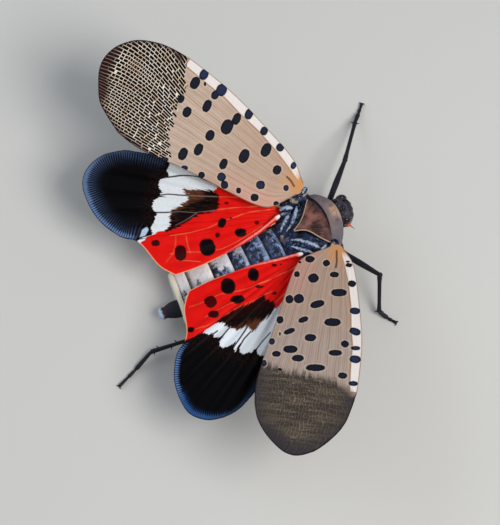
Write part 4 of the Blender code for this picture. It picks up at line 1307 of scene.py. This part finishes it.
def leg(name, places, paint):
    """One unbroken leg: coxa, thigh, shin, three short foot joints, spines and two claws."""
    coxa, hip, knee, ankle, toe = (np.array(place, float) for place in places)
    thigh = [*np.linspace(coxa, hip, 4), *np.linspace(hip, knee, 12)[1:]]
    shin = np.linspace(knee - (knee - hip) * 0.01, ankle, 14)
    parts = [
        tube("thigh", thigh, radii_of(THIGH_RADII, 15), 16),
        tube("shin", shin, radii_of(SHIN_RADII, 14), 14),
        ball("knee", 16, 10),
    ]
    write_points(parts[-1], read_points(parts[-1]) * KNEE_RADIUS + knee)
    foot = at_height(toe - ankle, 0.0)
    joints = [ankle, at_height(ankle + foot * 0.5, 0.22), at_height(ankle + foot * 0.72, 0.20), toe]
    for start, end, thickness in zip(joints, joints[1:], FOOT_THICKNESS):
        parts.append(tube("foot", np.linspace(start, end, 8), radii_of(FOOT_RADII, 8) * thickness, 12))
    way = foot / np.linalg.norm(foot)
    beside = np.array([-way[1], way[0], 0.0])
    for side in (-1, 1):
        bend = at_height(toe + beside * side * 0.18, 0.20)
        tip = at_height(toe + beside * side * 0.26 - way * 0.06, 0.06)
        line = smooth_curve([toe - way * 0.15, bend, tip], shares(8))
        parts.append(tube("claw", line, CLAW_RADII, 8))
    way = (ankle - knee) / np.linalg.norm(ankle - knee)
    out = np.cross(way, (0.0, 0.0, 1.0))
    out = out / np.linalg.norm(out)
    for share, side in HIND_SPINES if "hind" in name else OTHER_SPINES:
        root = knee + (ankle - knee) * share
        tip = root + out * side * 0.46 + way * 0.26
        parts.append(tube("spine", np.linspace(root, tip, 4), SPINE_RADII, 8))
    nodes = [f"{name}_{part}" for part in ("thigh", "shin", "foot")]
    settle(join(parts, name), nodes, paint)


ROLL_TIPS = {"left": (2.26, 2.24, 6.12), "right": (-2.10, 2.07, 6.12)}
ROLL_RADII = ([0, 0.02, 0.06, 0.6, 1], [0.084, 0.1785, 0.21, 0.168, 0.0315])


def wing_rolls(paint):
    """The rolled hind edge of each hindwing, from its pale end beside the body."""
    steps = 48
    for side, sign in SIDES.items():
        hinge, sweep, rise, pitch = WINGS["hindwing_" + side]
        out, fore, up = wing_axes(sign, sweep, rise, pitch)
        edge = smooth_curve(HIND_EDGES["trailing"], np.linspace(0.20, 0.66, 8))
        edge = np.array(hinge) + (edge[:, :1] + 0.10) * out + edge[:, 1:] * fore + 0.14 * up
        line = smooth_curve(np.vstack([ROLL_TIPS[side], edge]), shares(steps))
        roll = tube("hindwing_roll_" + side, line, radii_of(ROLL_RADII, steps), 16)
        write_values(roll, "run", np.linalg.norm(read_points(roll) - line[0], axis=1))
        settle(roll, (), paint)


# Finishes of the body

# Clouds of two tones with flecks of a third: the noises' scales and the grain's detail, where the clouds
# turn, their tones, where the flecks start and end and their strength, their tone, roughness and its
# spread, and the depth of the relief.
MOTTLED = {
    "navy flesh": (
        (1.3, 4.0, 4.0), (0.35, 0.70), ((8, 9, 16), (34, 46, 80)),
        (0.52, 0.72, 0.6), (104, 124, 160), (0.3, 0.25), 0.05,
    ),
    "cream hinge plates": (
        (1.5, 6.0, 3.0), (0.35, 0.65), ((70, 62, 70), (206, 188, 164)),
        (0.55, 0.72, 0.6), (28, 26, 34), (0.4, 0.2), 0.04,
    ),
    # The head's pale flecks are grey dusting and painted glints of light at once.
    "dark head shell": (
        (1.6, 7.0, 3.0), (0.34, 0.66), ((6, 7, 13), (62, 58, 68)),
        (0.56, 0.70, 0.4), (134, 132, 150), (0.35, 0.25), 0.05,
    ),
}
# One grain between two tones: its scale, the tones, and roughness and its spread.
GRAINED = {
    "black leg shell": (7.0, ((8, 9, 13), (42, 44, 54)), (0.28, 0.3)),
    "orange antenna": (8.0, ((196, 46, 20), (244, 120, 48)), (0.3, 0.2)),
}


def mottled_paint(name):
    scales, turns, tones, flecks, fleck_tone, gloss, depth = MOTTLED[name]
    p = Paint(name)
    place = p.place()
    cloud, grain = p.noise(place, scales[0]), p.noise(place, *scales[1:])
    p.skin = p.mix(p.step(cloud, *turns), *tones)
    p.lay(p.step(grain, *flecks[:2]) * flecks[2], fleck_tone)
    return p.finish(grain, *gloss, grain, depth)


def grained_paint(name):
    scale, tones, gloss = GRAINED[name]
    p = Paint(name)
    grain = p.noise(p.place(), scale)
    p.skin = p.mix(grain, *tones)
    return p.finish(grain, *gloss, grain, 0.03)


def collar_paint():
    """Grey shell with a tan patch in the middle, dark pits and dark edges."""
    p = Paint("grey tan shell")
    place, share, aside = p.place(), p.read("share"), p.read("aside")
    cloud, grain = p.noise(place, 1.1), p.noise(place, 8.0)
    p.skin = p.mix(cloud, (88, 80, 88), (142, 124, 122))
    p.lay(p.step(abs(aside - 0.2), 0.9, 2.4) * 0.6, (88, 88, 106))
    p.lay(p.step(grain, 0.5, 0.8) * 0.3, (178, 160, 152))
    near_mid = abs(aside - 0.15) + (cloud - 0.5) * 1.8
    tan = p.step(near_mid, 1.0, 0.4) * p.step(share, 0.16, 0.3) * p.step(share, 0.8, 0.6)
    p.lay(tan * 0.8, (204, 164, 138))
    crinkle = p.noise(p.point(aside * 1.2, share * 9.0), 1.6, 2.0)
    p.lay(tan * p.step(crinkle, 0.52, 0.62) * 0.6, (92, 58, 48))
    p.lay(p.step(abs(share - 0.19), 0.06, 0.0) * p.step(near_mid, 1.7, 0.9) * 0.6, (206, 184, 172))
    p.lay(p.step(p.read("pits") + (grain - 0.5) * 0.5, 0.4, 1.0) * 0.5, (58, 44, 46))
    p.lay(p.step(share + (grain - 0.5) * 0.10, 0.17, 0.07), (26, 26, 34))
    p.lay(p.step(share + (grain - 0.5) * 0.03, 0.88, 0.92), (26, 17, 24))
    return p.finish(grain, 0.4, 0.2, grain, 0.04)


def shield_paint():
    """Maroon with a tan rim, fine pale rays that run out from the rear tip, and painted shade on its wall
    and underside.
    """
    p = Paint("maroon shell")
    place, far = p.place(), p.read("far")
    cloud, grain = p.noise(place, 1.0), p.noise(place, 7.0)
    rays = p.noise(p.point(p.read("ray") * 26.0, far * 0.5), 1.0, 2.0)
    p.skin = p.mix(p.step(cloud, 0.3, 0.7), (46, 29, 34), (136, 90, 82))
    p.lay(p.step(rays, 0.5, 0.75) * 0.35, (158, 112, 92))
    p.lay(p.step(far, 2.5, 3.3) * 0.6, (34, 24, 30))
    p.lay(p.step(p.read("rim"), 0.13, 0.07), p.mix(grain, (150, 120, 104), (198, 170, 152)))
    # Painted shade: near-black on the shield's lower layer and wall, standing for the shade under its edge.
    p.lay(p.step(p.read("shaded_lower_layer"), 0.15, 0.35), (20, 17, 24))
    return p.finish(grain, 0.3, 0.2, grain + rays * 0.6, 0.03)


def bar_paint():
    """Blue flesh with a painted highlight along the top of its crest."""
    p = Paint("blue flesh painted highlight")
    place = p.place()
    cloud, grain = p.noise(place, 1.6), p.noise(place, 5.0)
    p.skin = p.mix(p.step(grain, 0.38, 0.68), (12, 14, 26), (66, 84, 122))
    crest = p.read("crest") + (cloud - 0.5) * 0.7 + (grain - 0.5) * 0.5
    # Painted highlight: pale blue-white laid along the top of each ridge and plate.
    p.lay(p.step(crest, 0.72, 1.05) * 0.85, p.mix(grain, (120, 146, 186), (206, 216, 232)))
    return p.finish(grain, 0.3, 0.25, grain, 0.06)


def abdomen_paint():
    """Navy bands with blue and white bloom, whiter towards the tail, with a painted highlight towards the
    left and painted shade in the creases.
    """
    p = Paint("waxy abdomen", Specular_IOR_Level=0.45)
    place, bands = p.place(), p.read("bands")
    share, number = p.part(bands), p.whole(bands)
    white = p.step(number, 1.0, 4.0)
    cloud, grain, speck = p.noise(place, 0.9), p.noise(place, 2.4, 4.0), p.noise(place, 6.0)
    aside = p.node("SeparateXYZ", {}, {"Vector": place})
    p.skin = p.mix(p.step(grain, 0.40, 0.60), (9, 10, 24), (54, 74, 122))
    bloom = p.step(grain * 0.6 + speck * 0.4 - share * 0.16, 0.43, 0.54)
    p.lay(bloom * 0.75, (150, 178, 220))
    # White wax, whiter towards the tail, and a painted highlight that whitens the bands towards the
    # animal's left.
    wax_and_highlight = cloud * 0.8 + grain * 0.6 + white * 0.42 - share * 0.30 + p.step(aside, -0.5, 1.2) * 0.26
    snow = p.mix(speck, (218, 222, 232), (252, 251, 252))
    p.lay(p.step(wax_and_highlight, 0.80, 0.98) * (white * 0.7 + 0.3), snow)
    edge = share + (grain - 0.5) * 0.55 + (speck - 0.5) * 0.2 - white * 0.08
    tint = p.mix(white, (140, 158, 200), (250, 246, 246))
    p.lay(p.step(edge, 0.28, 0.06) * (white * 0.35 + 0.6), tint)
    p.lay(p.step(number, 5.5, 6.0), p.mix(grain, (238, 226, 196), (250, 246, 232)))
    # Painted shade: dark navy in the crease at each band's start and end, fading out towards the tail.
    crease = p.maths("MAXIMUM", p.step(share, 0.76, 0.95), p.step(share, 0.03, 0.0))
    p.lay(crease * p.step(number, 5.5, 4.5) * 0.85, (14, 14, 26))
    return p.finish(grain, 0.30, 0.3, grain + speck * 0.4, 0.10)


def tail_paint():
    """Dark, with a reddish ring and a pale blue end."""
    p = Paint("dark tail")
    share, grain = p.read("share"), p.noise(p.place(), 6.0)
    p.skin = p.mix(grain, (12, 12, 18), (48, 48, 62))
    p.lay(p.step(abs(share - 0.60) + grain * 0.1, 0.12, 0.05) * 0.5, (96, 28, 32))
    p.lay(p.step(share + grain * 0.12, 0.72, 0.80), (178, 200, 220))
    return p.finish(grain, 0.4, 0.2, grain, 0.04)


def eye_paint():
    p = Paint("eye", Roughness=0.12, Coat_Weight=0.5)
    place = p.place()
    facets = p.node("TexVoronoi", {}, {"Vector": place, "Scale": 14.0})
    p.set(Base_Color=p.mix(p.noise(place, 1.5, 2.0), (12, 8, 12), (44, 18, 20)))
    p.bump(1 - facets, 0.012)
    return p


def roll_paint():
    """Red with a gleam on its crest and a whitish end."""
    p = Paint("rolled red edge", Specular_IOR_Level=0.4)
    run, grain = p.read("run"), p.noise(p.place(), 4.0)
    p.skin = p.mix(grain, (206, 10, 12), (238, 36, 30))
    gleam = p.step(p.read("crest") + (grain - 0.5) * 0.5, 0.75, 1.0) * p.step(run, 7.0, 2.0)
    p.lay(gleam * 0.7, (255, 160, 146))
    p.lay(p.step(run + grain * 0.3, 0.85, 0.45), (252, 242, 240))
    return p.finish(grain, 0.35, 0.1, grain, 0.03)


def build():
    bpy.ops.object.select_all(action="DESELECT")
    add_camera()
    add_stage()
    for side in SIDES:
        forewing(side, forewing_paint(side))
        hindwing(side, hindwing_paint(*HIND_TONES[side]))
    wing_rolls(roll_paint())
    pronotum(collar_paint())
    mesonotum(shield_paint())
    bars, cream, navy = bar_paint(), mottled_paint("cream hinge plates"), mottled_paint("navy flesh")
    thorax(navy, bars, cream)
    wing_roots({"cream": cream, "blue": bars, "dark": navy})
    abdomen(abdomen_paint())
    tail(tail_paint())
    head(mottled_paint("dark head shell"))
    eyes(eye_paint())
    black = grained_paint("black leg shell")
    antennae(grained_paint("orange antenna"), black)
    beak(black)
    for name, places in LEGS.items():
        leg(name, places, black)


build()
